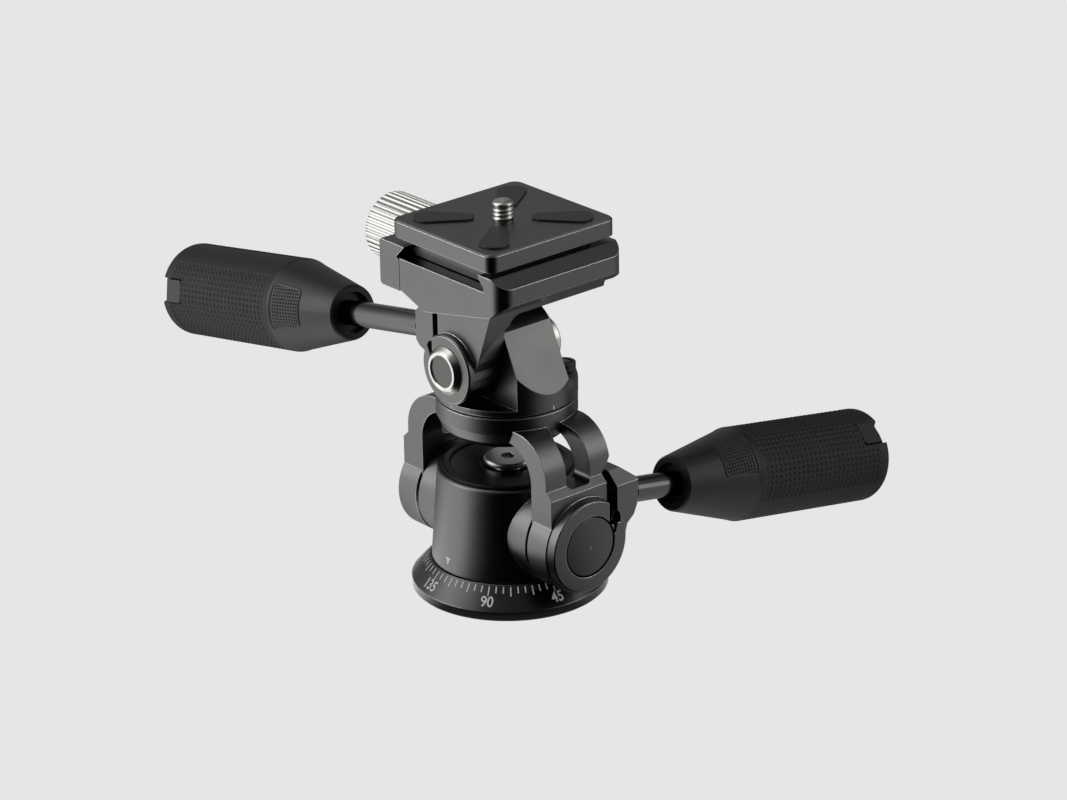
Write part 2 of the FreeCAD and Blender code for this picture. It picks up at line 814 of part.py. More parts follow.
def leg_outline():
    """Outline in X and Z of the leg with the ear of its split clamp."""
    r = ear_round
    return [(leg_slit_end, platform_top_z), (leg_top_right, platform_top_z), (leg_end_r, roll_z + r),
            (leg_end_r, roll_z), (0, roll_z - leg_end_r, -leg_end_r, roll_z), (-leg_end_r, ear_bottom_z - r),
            (ear_left + r, ear_bottom_z), (ear_left, ear_bottom_z + r), (ear_left, ear_top_z - r),
            (ear_left + r, ear_top_z), (leg_slit_end, ear_top_z)]


def leg_corner():
    """Round filling in the corner between the leg's back and the platform's underside."""
    r = leg_fillet
    piece = prism_y(leg_outline(), leg_back - overlap, leg_back + r)
    piece = piece.common(block(swing_far, through, -through, through, platform_low_z - r, platform_top_z))
    return piece.cut(rod(r, -through, through, X, (leg_back + r, platform_low_z - r)))


def platform():
    """Flat top of the bracket under the whole length of the camera clamp."""
    board = prism_y(leg_outline(), leg_front, clamp_half - gap)
    left = block(platform_left, 0, leg_front, clamp_half - gap, platform_low_z, platform_top_z)
    right = board.common(block(-edge, through, -through, through, platform_low_z, platform_top_z))
    return joined([left, right])


def swing_room():
    """Room under the platform for the housing's foot, up to the end of the side tilt."""
    pocket = rod(swing_r, swing_near, swing_far, X, (0, roll_z))
    pocket = pocket.common(block(0, through, leg_back, through, 0, through))
    foot = rod(swing_r, 0, disc_top_z + slack)
    foot.rotate(Vector(0, 0, roll_z), Y, -side_tilt_angle)
    return [pocket, foot]


def roll_bracket():
    """Leg with its split clamp and the platform under the camera clamp."""
    collar = turned([(0, 0), (leg_end_r, 0), (leg_end_r, collar_out - edge), (leg_end_r - edge, collar_out),
                     (0, collar_out)])
    collar.Placement = FreeCAD.Placement(Vector(0, leg_front, roll_z), Rotation(Z, Y * -1))
    body = joined([prism_y(leg_outline(), leg_front, leg_back), platform(), leg_corner(), collar])
    foot_z = leg_slit_foot
    top = ear_top_z + overlap
    slit = [(leg_slit_x, top), (leg_slit_x, foot_z + 2 * leg_slit_w), (leg_slit_end - edge, foot_z),
            (leg_slit_end + fine_edge, foot_z), (leg_slit_end, foot_z + leg_slit_w), (leg_slit_end, top)]
    cuts = [prism_y(slit, roll_cap_face, leg_back + overlap)]
    cuts.append(rod(roll_axle_r + run + bush_wall, -through, leg_back + overlap, Y, (0, roll_z)))
    cuts.append(on_line(roll_line, rod(stud_r + run, -roll_stud_in - edge, through)))
    return less(body, cuts + swing_room() + bracket_screws())


def roll_bush():
    """Nylon sleeve between the leg and the pin."""
    inner = roll_axle_r + run
    start = leg_front - collar_out + play
    return tube(inner, inner + bush_wall, start, leg_back - play, Y, (0, roll_z))


def roll_washer():
    """Thin nylon ring between the leg and the housing."""
    return tube(roll_axle_r + washer_in, leg_end_r - washer_out, leg_back, housing_front, Y, (0, roll_z))


def bracket_screw_places():
    """Two screws over the leg and one over the rear of the platform."""
    return [(x, leg_middle_y) for x in leg_screw_x] + [platform_screw_place]


def bracket_screws():
    """Countersunk screws down through the clamp's floor into the bracket."""
    top = bracket_screw_head_z
    rim = top - slack
    neck = rim - bracket_screw_cone
    end = top - bracket_screw_l
    head_r = bracket_screw_head_r
    screws = []
    for x, y in bracket_screw_places():
        screw = turned([(0, end), (bracket_screw_r, end), (bracket_screw_r, neck), (head_r, rim),
                        (head_r, top), (0, top)])
        screw.translate(Vector(x, y, 0))
        screws.append(screw)
    return screws


# Camera clamp

def clamp_plan():
    """Outline of the clamp from above, with two rounded corners on the right."""
    r = clamp_corner
    bend = r * ARC_MIDDLE
    half = clamp_half
    right = clamp_right
    return prism_z([(-through, -half), (right - r, -half), (right - bend, bend - half, right, r - half),
                    (right, half - r), (right - bend, half - bend, right - r, half), (-through, half)],
                   0, through)


def clamp_base():
    """Fixed half of the dovetail clamp, with the apron that hangs in front of the bracket."""
    neck = dovetail_neck + gap
    foot = dovetail_half + gap
    side_z = floor_z + gap + dovetail_side
    low = platform_top_z
    body = prism_y([(clamp_left, low), (clamp_left, floor_z), (foot, floor_z), (foot, side_z),
                    (neck, side_z + foot - neck), (neck, lip_top_z), (lip_flat_x, lip_top_z),
                    (clamp_right, band_high_z), (clamp_right, band_low_z), (under_x, low)],
                   -clamp_half, clamp_half)
    apron = prism_y([(clamp_left, low + overlap), (clamp_left, apron_left_z), apron_low, apron_right,
                     (under_x, low), (under_x + edge, low + overlap)], -clamp_half, leg_front)
    cuts = [rod(clamp_screw_r + run, clamp_left - overlap, clamp_thread_end, X, (0, clamp_screw_z))]
    pin_end = clamp_left + guide_pin_l + guide_pin_seat
    for y in (-guide_pin_y, guide_pin_y):
        cuts.append(rod(guide_pin_r + run, clamp_left - overlap, pin_end, X, (y, clamp_screw_z)))
    for place in bracket_screw_places():
        cuts.append(rod(bracket_screw_head_r, bracket_screw_head_z, floor_z + overlap, Z, place))
    return less(joined([body, apron]).common(clamp_plan()), cuts + bracket_screws())


def clamp_jaw():
    """Moving half of the dovetail clamp."""
    inner = clamp_left - gap
    tip = -(dovetail_neck + jaw_face_gap)
    apex = tip - (jaw_top_z - jaw_apex_z)
    jaw = prism_y([(inner, jaw_low_z), (inner, jaw_apex_z - 1.1), (apex, jaw_apex_z - jaw_apex_h),
                   (apex, jaw_apex_z), (tip, jaw_top_z), (jaw_left + edge, jaw_top_z),
                   (jaw_left, jaw_top_z - edge), (jaw_left, jaw_low_z + soft_edge),
                   (jaw_left + soft_edge, jaw_low_z)], -clamp_half, clamp_half)
    cuts = [rod(clamp_screw_r + run, -through, 0, X, (0, clamp_screw_z))]
    for y in (-guide_pin_y, guide_pin_y):
        cuts.append(rod(guide_pin_r, jaw_left + guide_pin_seat, 0, X, (y, clamp_screw_z)))
    return less(jaw, cuts)


def jaw_guide_pins():
    """Two steel pins that keep the jaw square."""
    start = jaw_left + guide_pin_seat
    end = clamp_left + guide_pin_l
    return [rod(guide_pin_r, start, end, X, (y, clamp_screw_z)) for y in (-guide_pin_y, guide_pin_y)]


def knob_washer():
    """Thin steel washer between jaw and knob."""
    return tube(clamp_screw_r + run, knob_washer_r, jaw_left - knob_washer_h, jaw_left, X, (0, clamp_screw_z))


def clamp_knob():
    """Bright fluted knob that closes the jaw."""
    collar = jaw_left - knob_washer_h - knob_inner
    end = knob_inner - knob_outer
    rim_r = knob_r - knob_rim
    knob = turned([(clamp_screw_r, -collar), (knob_collar_r, -collar), (knob_collar_r, 0),
                   (knob_r - soft_edge, 0), (knob_r, soft_edge), (knob_r, end - soft_edge),
                   (knob_r - soft_edge, end), (rim_r, end), (rim_r - edge, end - edge), (0, end - edge),
                   (0, end - knob_wall), (clamp_screw_r, end - knob_wall)])
    flute = Part.makeCylinder(flute_r, end + 2 * overlap, Vector(knob_r + play / 2, 0, -overlap))
    knob = knob.cut(Part.makeCompound(around(flute, knob_flutes)))
    knob.Placement = FreeCAD.Placement(Vector(knob_inner, 0, clamp_screw_z), Rotation(Z, X * -1))
    return knob


def clamp_screw():
    """Threaded rod that the knob turns in the clamp's base."""
    return rod(clamp_screw_r, knob_outer + knob_wall, clamp_screw_end, X, (0, clamp_screw_z))


# Plate

def plate_outline():
    """Rectangle with rounded corners, as steps in X and Y."""
    half_x = plate_x / 2
    half_y = plate_y / 2
    c = plate_corner
    bend = c * ARC_MIDDLE
    steps = []
    for sx, sy in ((1, -1), (1, 1), (-1, 1), (-1, -1)):
        a = (sx * half_x, sy * (half_y - c))
        b = (sx * (half_x - c), sy * half_y)
        first, last = (b, a) if sx * sy < 0 else (a, b)
        steps += [first, (sx * (half_x - bend), sy * (half_y - bend)) + last]
    return steps


def quick_plate():
    """Dovetail plate that screws to the camera."""
    top = prism_z(plate_outline(), plate_bottom_z, plate_top_z)
    rims = [e for e in top.Edges if abs(e.CenterOfMass.z - plate_top_z) < run]
    foot = plate_bottom_z - rail_h
    side = foot + dovetail_side
    neck_z = side + dovetail_half - dovetail_neck
    high = plate_bottom_z + edge
    end = plate_y / 2 - rail_short
    rail = prism_y([(-dovetail_neck, high), (-dovetail_neck, neck_z), (-dovetail_half, side),
                    (-dovetail_half, foot), (dovetail_half, foot), (dovetail_half, side),
                    (dovetail_neck, neck_z), (dovetail_neck, high)], -end, end)
    cuts = [rod(screw_head_r + overlap, 0, foot + rail_pocket_h), rod(camera_screw_neck_r + run, 0, through)]
    return less(joined([top.makeChamfer(edge, rims), rail]), cuts)


def plate_pads():
    """Four leaf-shaped rubber pads on the diagonals of the plate."""
    far = pad_near + pad_length
    wide = pad_width / 2
    root = pad_root / 2
    shoulder = pad_shoulder / 2
    at = pad_near + pad_shoulder_at
    leaf = prism_z([(pad_near, -root), (at, -shoulder), (far - pad_tip, -wide),
                    (far, 0, far - pad_tip, wide), (at, shoulder), (pad_near, root)],
                   plate_top_z, plate_top_z + pad_h)
    leaf.rotate(Vector(0, 0, 0), Z, math.degrees(math.atan2(plate_y, plate_x)))
    other = leaf.mirror(Vector(0, 0, 0), X)
    return [leaf, other, leaf.mirror(Vector(0, 0, 0), Y), other.mirror(Vector(0, 0, 0), Y)]


def camera_screw():
    """Camera screw with a coin slot in its head, held in the plate by its thinner neck."""
    head_top = plate_bottom_z - rail_h + rail_pocket_h - play
    low = head_top - screw_head_h
    top = plate_top_z + camera_screw_up
    neck_end = plate_top_z + gap
    neck_r = camera_screw_neck_r
    r = camera_screw_r
    tip = camera_screw_tip
    screw = turned([(0, low), (screw_head_r - edge, low), (screw_head_r, low + edge),
                    (screw_head_r, head_top), (neck_r, head_top), (neck_r, neck_end), (r, neck_end),
                    (r, top - tip), (r - tip, top), (0, top)])
    half_l = coin_slot_l / 2
    half_w = coin_slot_w / 2
    return screw.cut(block(-half_l, half_l, -half_w, half_w, 0, low + coin_slot_h))


# Handles

def handle_rod(line, stud_in, seat, grip_start):
    """Steel rod of a handle with its threaded stud."""
    stud = rod(stud_r, -stud_in, seat + overlap)
    return on_line(line, joined([stud, rod(rod_r, seat, grip_start + grip_length - rod_short)]))


def grip_core(line, grip_start, turn):
    """Moulded cone and inner tube of a grip, with the square tab at its end."""
    end = grip_length - grip_end
    core = turned([(rod_r, cone_nose_h), (cone_nose_r, cone_nose_h), (cone_nose_r, 0),
                   (cone_small_r - cone_round, 0), (cone_small_r, cone_round),
                   (grip_r - edge, cone_length - cone_step), (grip_r, cone_length), (core_r, cone_length),
                   (core_r, end), (rod_r, end)])
    return seated_grip(core.fuse(grip_tab(0, 0)).removeSplitter(), line, grip_start, turn)


def grip_tab(wider, longer):
    """Square tab of the core that shows in the sleeve's notch; the two extras turn it into the notch."""
    top = grip_length - grip_end
    high = grip_r - tab_sunk + longer
    return block(core_r - edge, high, -tab_half - wider, tab_half + wider, top - tab_length - wider,
                 top + longer)


def seated_grip(shape, line, grip_start, turn):
    """Turn a grip piece about its own axis and slide it onto the rod."""
    shape.rotate(Vector(0, 0, 0), Z, turn)
    shape.translate(Vector(0, 0, grip_start))
    return on_line(line, shape.removeSplitter())


def grip_sleeve(line, grip_start, turn):
    """Rubber sleeve with a rounded end and a notch for the tab."""
    bend = grip_round * ARC_MIDDLE
    sleeve = turned([(core_r, cone_length), (grip_r, cone_length), (grip_r, grip_length - grip_round),
                     (grip_r - bend, grip_length - bend, grip_r - grip_round, grip_length),
                     (core_r, grip_length)])
    return seated_grip(sleeve.cut(grip_tab(tab_notch, grip_end + overlap)), line, grip_start, turn)


def grip_plug(line, grip_start):
    """Round plug that closes the end of a grip."""
    low = grip_length - grip_end
    top = grip_length - fine_edge
    plug = turned([(0, low), (core_r, low), (core_r, top - edge), (core_r - edge, top), (0, top)])
    return seated_grip(plug, line, grip_start, 0)


def save_handle(name, line, stud_in, seat, grip_start, turn):
    """Write the four pieces of one handle."""
    save(handle_rod(line, stud_in, seat, grip_start), name + "_handle_rod")
    save(grip_core(line, grip_start, turn), name + "_grip_core")
    save(grip_sleeve(line, grip_start, turn), name + "_grip_sleeve")
    save(grip_plug(line, grip_start), name + "_grip_plug")


def main():
    """Write every piece of the head."""
    os.makedirs("parts", exist_ok=True)
    save(base_dial(), "base_dial")
    save(Part.makeCompound(base_screws()), "spindle_screws")
    save(pan_spindle(), "pan_spindle")
    save(pan_slide_ring(), "pan_slide_ring")
    save(pan_cap_screw(), "pan_cap_screw")
    save(pan_body(), "pan_body")
    save(pan_top_cover(), "pan_top_cover")
    save(pan_lock_shoe(), "pan_lock_shoe")
    save(pan_lock_screw(), "pan_lock_screw")
    save(pan_lock_knob(), "pan_lock_knob")
    for side, name in ((1, "right"), (-1, "left")):
        save(trunnion(side), "tilt_trunnion_" + name)
        save(trunnion_bolt(side), "trunnion_bolt_" + name)
        save(tilt_cap(side), "tilt_cap_" + name)
        save(pivot_bush(side), "tilt_bush_" + name)
        save(thrust_washer(side), "tilt_washer_" + name)
    save(tilt_yoke(), "tilt_yoke")
    save(pivot_housing(), "pivot_housing")
    save(Part.makeCompound(housing_screws()), "housing_screws")
    save(roll_axle(), "roll_axle")
    save(roll_axle_nut(), "roll_axle_nut")
    save(roll_cap_ring(), "roll_cap_ring")
    save(roll_cap_disc(), "roll_cap_disc")
    save(level_holder(), "level_holder")
    save(level_vial(), "level_vial")
    save(roll_bracket(), "roll_bracket")
    save(roll_bush(), "roll_bush")
    save(roll_washer(), "roll_washer")
    save(clamp_base(), "clamp_base")
    save(Part.makeCompound(bracket_screws()), "bracket_screws")
    save(clamp_jaw(), "clamp_jaw")
    save(Part.makeCompound(jaw_guide_pins()), "jaw_guide_pins")
    save(knob_washer(), "knob_washer")
    save(clamp_knob(), "clamp_knob")
    save(clamp_screw(), "clamp_screw")
    save(quick_plate(), "quick_plate")
    save(Part.makeCompound(plate_pads()), "plate_pads")
    save(camera_screw(), "camera_screw")
    save_handle("tilt", tilt_line, tilt_stud_in, rod_seat(lug_end, tilt_handle_angle), tilt_grip_start,
                tilt_grip_angle)
    save_handle("roll", roll_line, roll_stud_in, rod_seat(-ear_left, roll_handle_angle), roll_grip_start,
                roll_grip_angle)


main()
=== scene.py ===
# %% [markdown]
# # A three way pan tilt head
#
# This lesson dresses the finished CAD model of a tripod head. The model is already right in size and
# in how it moves, so nothing of it is moved here. What is added is what a machinist, a moulder and a
# printer would add: surface finishes, the grip pattern, the screw thread, and the white scale.
#
# The scene is in metres, with +Z up. Sizes on the head itself are written in millimetres and turned to
# metres by MM, and those of the camera and the studio are in metres. The first cell loads the CAD
# pieces as named objects.

# %% Load the model
import json
import math

import bmesh
import bpy
import numpy as np
from mathutils import Matrix, Vector


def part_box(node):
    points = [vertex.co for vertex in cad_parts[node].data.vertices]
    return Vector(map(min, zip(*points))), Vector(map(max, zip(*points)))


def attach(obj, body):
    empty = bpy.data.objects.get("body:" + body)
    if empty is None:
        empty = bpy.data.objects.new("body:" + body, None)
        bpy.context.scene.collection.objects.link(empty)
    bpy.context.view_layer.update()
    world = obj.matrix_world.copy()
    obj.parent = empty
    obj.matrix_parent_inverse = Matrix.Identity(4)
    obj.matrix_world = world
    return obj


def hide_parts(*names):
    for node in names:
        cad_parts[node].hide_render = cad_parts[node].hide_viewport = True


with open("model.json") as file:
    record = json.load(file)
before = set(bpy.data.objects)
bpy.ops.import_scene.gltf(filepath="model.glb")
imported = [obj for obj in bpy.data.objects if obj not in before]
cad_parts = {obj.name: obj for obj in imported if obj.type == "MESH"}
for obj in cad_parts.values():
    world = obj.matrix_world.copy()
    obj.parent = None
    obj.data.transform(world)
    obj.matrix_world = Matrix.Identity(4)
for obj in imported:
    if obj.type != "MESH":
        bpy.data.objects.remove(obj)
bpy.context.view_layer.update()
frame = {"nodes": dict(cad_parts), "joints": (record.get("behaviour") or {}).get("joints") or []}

nodes = frame["nodes"]
joints = {joint["name"]: joint for joint in frame["joints"]}
MM = 0.001

# %% [markdown]
# ## The camera
#
# The photograph looks down on the head from the front right. The angles were found by laying the edges
# of the base disc, the plate and the pivots over the picture. The lens is long, so the far side of an
# object is hardly smaller than its near side. A Track To constraint could aim the camera, but it keeps
# the horizon level, and this picture is rolled by one degree. So the three axes are worked out and set
# as a matrix. A camera looks along its own -Z, so its Z axis points back from the subject to the lens.

# %% Camera
SENSOR_MM = 36.0
IMAGE_WIDTH_PX = 1067
FOCAL_PX = 4223.83
AZIMUTH = math.radians(49.483)
ELEVATION = math.radians(22.632)
ROLL = math.radians(-0.997)
DISTANCE = 1.26716
AIM_SIDE = 0.008014
AIM_HEIGHT = 0.059207


def outward(azimuth, elevation):
    """Unit vector away from the head: azimuth from -Y toward +X, elevation up from level."""
    return Vector((math.sin(azimuth) * math.cos(elevation), -math.cos(azimuth) * math.cos(elevation),
                   math.sin(elevation)))


def photo_camera():
    """Camera on a sphere round the aim point, then rolled a little about its own line of sight."""
    back = outward(AZIMUTH, ELEVATION)
    right = Vector((math.cos(AZIMUTH), math.sin(AZIMUTH), 0))
    up = back.cross(right)
    side = right * math.cos(ROLL) + up * math.sin(ROLL)
    top = up * math.cos(ROLL) - right * math.sin(ROLL)
    data = bpy.data.cameras.new("photo_camera")
    data.sensor_width = SENSOR_MM
    data.lens = SENSOR_MM * FOCAL_PX / IMAGE_WIDTH_PX
    camera = bpy.data.objects.new("photo_camera", data)
    turn = Matrix((side, top, back)).transposed().to_4x4()
    place = right * AIM_SIDE + Vector((0, 0, AIM_HEIGHT)) + back * DISTANCE
    camera.matrix_world = Matrix.Translation(place) @ turn
    bpy.context.scene.collection.objects.link(camera)
    return camera


bpy.context.scene.camera = photo_camera()
print("lens mm", round(bpy.context.scene.camera.data.lens, 1))

# %% [markdown]
# ## Colours and shader nodes
#
# Hex colours are written as a screen shows them, and a shader needs linear light, so one function
# turns them. A second adds a node with its settings and its links in one call. A material is then a
# short list of such calls, and reads like a recipe.

# %% Colour and node helpers


def linear(hex_colour):
    """Linear red, green, blue and alpha from an sRGB hex colour: the sRGB curve undone per channel."""
    value = np.array([int(hex_colour[k:k + 2], 16) for k in (1, 3, 5)]) / 255
    light = np.where(value <= 0.04045, value / 12.92, ((value + 0.055) / 1.055) ** 2.4)
    return (*light.tolist(), 1.0)


def add(tree, kind, settings=None, links=None):
    """Add a shader node. Settings are node properties or socket values, links are socket to output."""
    node = tree.nodes.new("ShaderNode" + kind)
    for key, value in (settings or {}).items():
        if isinstance(key, str) and hasattr(node, key):
            setattr(node, key, value)
        else:
            node.inputs[key].default_value = value
    for key, output in (links or {}).items():
        tree.links.new(output, node.inputs[key])
    return node


def new_material(name):
    """Empty material with its tree, and its output node."""
    material = bpy.data.materials.new(name)
    material.use_nodes = True
    material.node_tree.nodes.clear()
    output = add(material.node_tree, "OutputMaterial")
    return material, material.node_tree, output


# %% [markdown]
# ## The finishes
#
# Black anodised aluminium is metal under a dyed oxide. It was bead blasted first, so its reflections
# are soft, and its cut edges show as thin light lines. Three things give that to the eye: a fine grain
# in the normal, a roughness that drifts over the surface, and edges that are rounded over about a
# quarter of a millimetre and carry a painted highlight there, a lighter colour in place of the light
# they catch. The edges could be cut into the mesh with a Bevel modifier, but the model's shapes stay as
# they are. A Bevel node rounds only the normal, and where that leaves the true normal the painted
# highlight lightens the colour.
#
# Moulded plastic and rubber are not metals. Their grain comes from the spark-eroded mould, and rubber
# scatters more than plastic does. Plated parts are smooth, with hardly any grain. All of them are one
# recipe with other measures, so one function makes every opaque finish.

# %% Finish helpers
EDGE_MM = 0.28
# Colour of the painted highlight that lightens the cut edges.
EDGE_HIGHLIGHT_TONE = "#f4f4f2"
EDGE_SAMPLES = 6
EDGE_MEET = (0.9, 0.995)
GRAIN_DEPTH_MM = 0.02
CLOUD_MM = 9.0
ROUGHNESS_SPREAD = 0.06


def grain(tree, size_mm, strength, edge_mm):
    """Fine noise of one grain size, the normal that it gives, and the rounded normal under it."""
    place = add(tree, "TexCoord")
    noise = add(tree, "TexNoise", {"Scale": 1 / (size_mm * MM), "Detail": 2.0, "Roughness": 0.55},
                {"Vector": place.outputs["Object"]})
    edge = add(tree, "Bevel", {"samples": EDGE_SAMPLES, "Radius": edge_mm * MM})
    bump = add(tree, "Bump", {"Strength": strength, "Distance": GRAIN_DEPTH_MM * MM},
               {"Height": noise.outputs["Fac"], "Normal": edge.outputs["Normal"]})
    return noise, bump, edge


def cut_edge(tree, edge, tone, highlight_share):
    """Tone that turns lighter where the rounded normal leaves the true one, which is along the edges.

    The colour is a painted highlight along the edges. The dot product of the two normals is 1 on a flat
    face. As it falls from the higher to the lower value of EDGE_MEET, the share of the highlight's tone
    grows from nothing to the whole highlight share.
    """
    true = add(tree, "NewGeometry")
    meet = add(tree, "VectorMath", {"operation": "DOT_PRODUCT"},
               {0: edge.outputs["Normal"], 1: true.outputs["Normal"]})
    share = add(tree, "MapRange", {"From Min": EDGE_MEET[0], "From Max": EDGE_MEET[1],
                                   "To Min": highlight_share, "To Max": 0.0}, {"Value": meet.outputs["Value"]})
    return add(tree, "MixRGB", {"Color2": linear(EDGE_HIGHLIGHT_TONE)},
               {"Fac": share.outputs["Result"], "Color1": tone.outputs["Color"]})


def finish(name, colour, metallic, roughness, grain_mm=0.35, strength=0.35, specular=0.5,
           edge_mm=EDGE_MM, mottle=0.12, highlight_share=0.0):
    """Opaque finish: a grained normal, a roughness that varies with a larger noise, a faint mottle.

    The roughness runs from its value less the spread to its value plus the spread. The colour runs from
    a tone that is darker by the share called mottle up to the full tone. The highlight share is how far
    the cut edges turn to the painted highlight's tone.
    """
    material, tree, output = new_material(name)
    noise, bump, edge = grain(tree, grain_mm, strength, edge_mm)
    place = add(tree, "TexCoord")
    cloud = add(tree, "TexNoise", {"Scale": 1 / (CLOUD_MM * MM), "Detail": 3.0},
                {"Vector": place.outputs["Object"]})
    rough = add(tree, "MapRange", {"To Min": roughness - ROUGHNESS_SPREAD,
                                   "To Max": roughness + ROUGHNESS_SPREAD}, {"Value": cloud.outputs["Fac"]})
    deep = tuple(channel * (1 - mottle) for channel in linear(colour)[:3]) + (1.0,)
    tone = add(tree, "MixRGB", {"Color1": deep, "Color2": linear(colour)}, {"Fac": noise.outputs["Fac"]})
    # Painted highlight: the cut edges turn lighter, in place of the light they catch.
    if highlight_share:
        tone = cut_edge(tree, edge, tone, highlight_share)
    surface = add(tree, "BsdfPrincipled", {"Metallic": metallic, "Specular IOR Level": specular},
                  {"Base Color": tone.outputs["Color"], "Roughness": rough.outputs["Result"],
                   "Normal": bump.outputs["Normal"]})
    tree.links.new(surface.outputs["BSDF"], output.inputs["Surface"])
    return material


# %% Finishes

# Aluminium, blasted and dyed black: broad soft reflections, and thin painted highlights at the cut edges.
anodised = finish("anodised_black_satin", "#636462", 1.0, 0.33, highlight_share=0.7)
# The base: the same metal, a little darker and smoother, with fainter painted highlights at its edges.
anodised_base = finish("anodised_black_base", "#4c4d4b", 1.0, 0.30, highlight_share=0.5)
# Turned before it was dyed: hardly any grain, so a cap looks calm beside the blasted arm.
anodised_cap = finish("anodised_turned_cap", "#555553", 1.0, 0.32, strength=0.15, edge_mm=0.05)
# Dyed dish in the top of the drum: almost black, with one broad dull reflection.
dark_dish = finish("anodised_dark_dish", "#202022", 1.0, 0.34, strength=0.2)
# Black oxide on a ground rod: the smoothest black, with narrow light lines along its length.
rod_black = finish("black_oxide_rod", "#5a5a5a", 1.0, 0.16, strength=0.08, grain_mm=0.6)
# ABS from a spark-eroded mould: an even black with a low sheen.
moulded = finish("moulded_black_abs", "#161618", 0.0, 0.42, strength=0.3, grain_mm=0.25)
# Soft rubber of the grips: the dullest surface, which scatters light evenly.
rubber = finish("grip_rubber_black", "#1d1d1f", 0.0, 0.58, strength=0.4, grain_mm=0.22, specular=0.4)
# Harder rubber of the plate's pads: smoother and a shade greyer than the grips.
pad_rubber = finish("pad_rubber_black", "#2c2c2e", 0.0, 0.46, strength=0.4, grain_mm=0.22)
# Satin nickel: bright metal whose reflections are blurred but keep their contrast.
plated = finish("satin_nickel_plate", "#c2c2bf", 1.0, 0.28, strength=0.06, grain_mm=0.5, mottle=0.03)
# Turned steel of the screws and pins: greyer and less even than the nickel.
steel = finish("turned_steel", "#a8a9aa", 1.0, 0.30, strength=0.1, mottle=0.05)
# Natural nylon of the bushes: milky, with a soft shine.
nylon = finish("natural_nylon", "#e4e1d6", 0.0, 0.45, strength=0.1, mottle=0.03)
# Pad printing ink: flat white, and too thin to have a rounded edge.
white_ink = finish("white_pad_print", "#ffffff", 0.0, 0.5, strength=0.1, mottle=0.04, edge_mm=0.02)

VIAL_TONE = "#3c4420"
VIAL_CLEAR = 0.35
ACRYLIC_IOR = 1.49
ACRYLIC_ROUGHNESS = 0.05


def vial_acrylic():
    """Clear acrylic of the level: a sharp highlight, over the liquid's green and the dark cup under it."""
    material, tree, output = new_material("level_vial_acrylic")
    surface = add(tree, "BsdfPrincipled", {"Base Color": linear(VIAL_TONE), "IOR": ACRYLIC_IOR,
                                           "Roughness": ACRYLIC_ROUGHNESS,
                                           "Transmission Weight": VIAL_CLEAR})
    tree.links.new(surface.outputs["BSDF"], output.inputs["Surface"])
    return material


vial = vial_acrylic()

# %% Who wears what
WEARS = {
    anodised_base: ["base_dial"],
    anodised: ["pan_body", "tilt_yoke", "pivot_housing", "roll_bracket", "clamp_base", "clamp_jaw",
               "quick_plate"],
    anodised_cap: ["tilt_cap_right", "tilt_cap_left", "tilt_trunnion_right", "tilt_trunnion_left",
                   "roll_cap_disc"],
    rod_black: ["tilt_handle_rod", "roll_handle_rod"],
    moulded: ["tilt_grip_core", "roll_grip_core", "tilt_grip_plug", "roll_grip_plug", "pan_lock_knob",
              "level_holder"],
    rubber: ["tilt_grip_sleeve", "roll_grip_sleeve"],
    pad_rubber: ["plate_pads"],
    dark_dish: ["pan_top_cover"],
    plated: ["clamp_knob", "roll_cap_ring", "roll_axle_nut", "camera_screw", "pan_cap_screw"],
    steel: ["spindle_screws", "pan_spindle", "housing_screws", "bracket_screws", "trunnion_bolt_right",
            "trunnion_bolt_left", "roll_axle", "jaw_guide_pins", "knob_washer", "clamp_screw",
            "pan_lock_screw"],
    nylon: ["pan_slide_ring", "pan_lock_shoe", "tilt_bush_right", "tilt_bush_left", "tilt_washer_right",
            "tilt_washer_left", "roll_bush", "roll_washer"],
    vial: ["level_vial"],
}
for material, wearers in WEARS.items():
    for name in wearers:
        nodes[name].data.materials.clear()
        nodes[name].data.materials.append(material)
bare = sorted(set(nodes) - {name for wearers in WEARS.values() for name in wearers})
print("finishes", len(WEARS), "nodes without one", bare)

# %% [markdown]
# ## Surfaces from arrays
#
# Each new piece is a surface over two parameters, worked out as whole arrays. One function turns such
# a grid of points into a mesh. A grid that closes on itself in both directions is a ring without any
# open edge, which is what a sleeve needs. The screw's surface starts and ends on its own axis instead,
# where a whole row of points falls on one place, and those are merged into a single point.

# %% Mesh from a grid
MERGE_MM = 0.001


def mesh_points(mesh):
    """Points of a mesh as an array with one row for each."""
    points = np.empty(len(mesh.vertices) * 3, np.float32)
    mesh.vertices.foreach_get("co", points)
    return points.reshape(-1, 3)


def round_axis(radius, azimuth, height):
    """Points round the pan axis from a radius, an azimuth from -Y toward +X, and a height."""
    radius, azimuth, height = np.broadcast_arrays(radius, azimuth, height)
    return np.stack([radius * np.sin(azimuth), -radius * np.cos(azimuth), height], axis=-1)


def grid_mesh(name, points, closed_u=True, closed_v=False):
    """Mesh of quads over a grid of points with shape (rows, columns, 3). Closed directions wrap round."""
    rows, columns, _ = points.shape
    index = np.arange(rows * columns).reshape(rows, columns)
    near_v = index if closed_v else index[:-1]
    next_v = np.roll(index, -1, axis=0) if closed_v else index[1:]
    if closed_u:
        quads = np.stack([near_v, np.roll(near_v, -1, 1), np.roll(next_v, -1, 1), next_v], axis=-1)
    else:
        quads = np.stack([near_v[:, :-1], near_v[:, 1:], next_v[:, 1:], next_v[:, :-1]], axis=-1)
    return quad_mesh(name, points.reshape(-1, 3), quads.reshape(-1, 4))


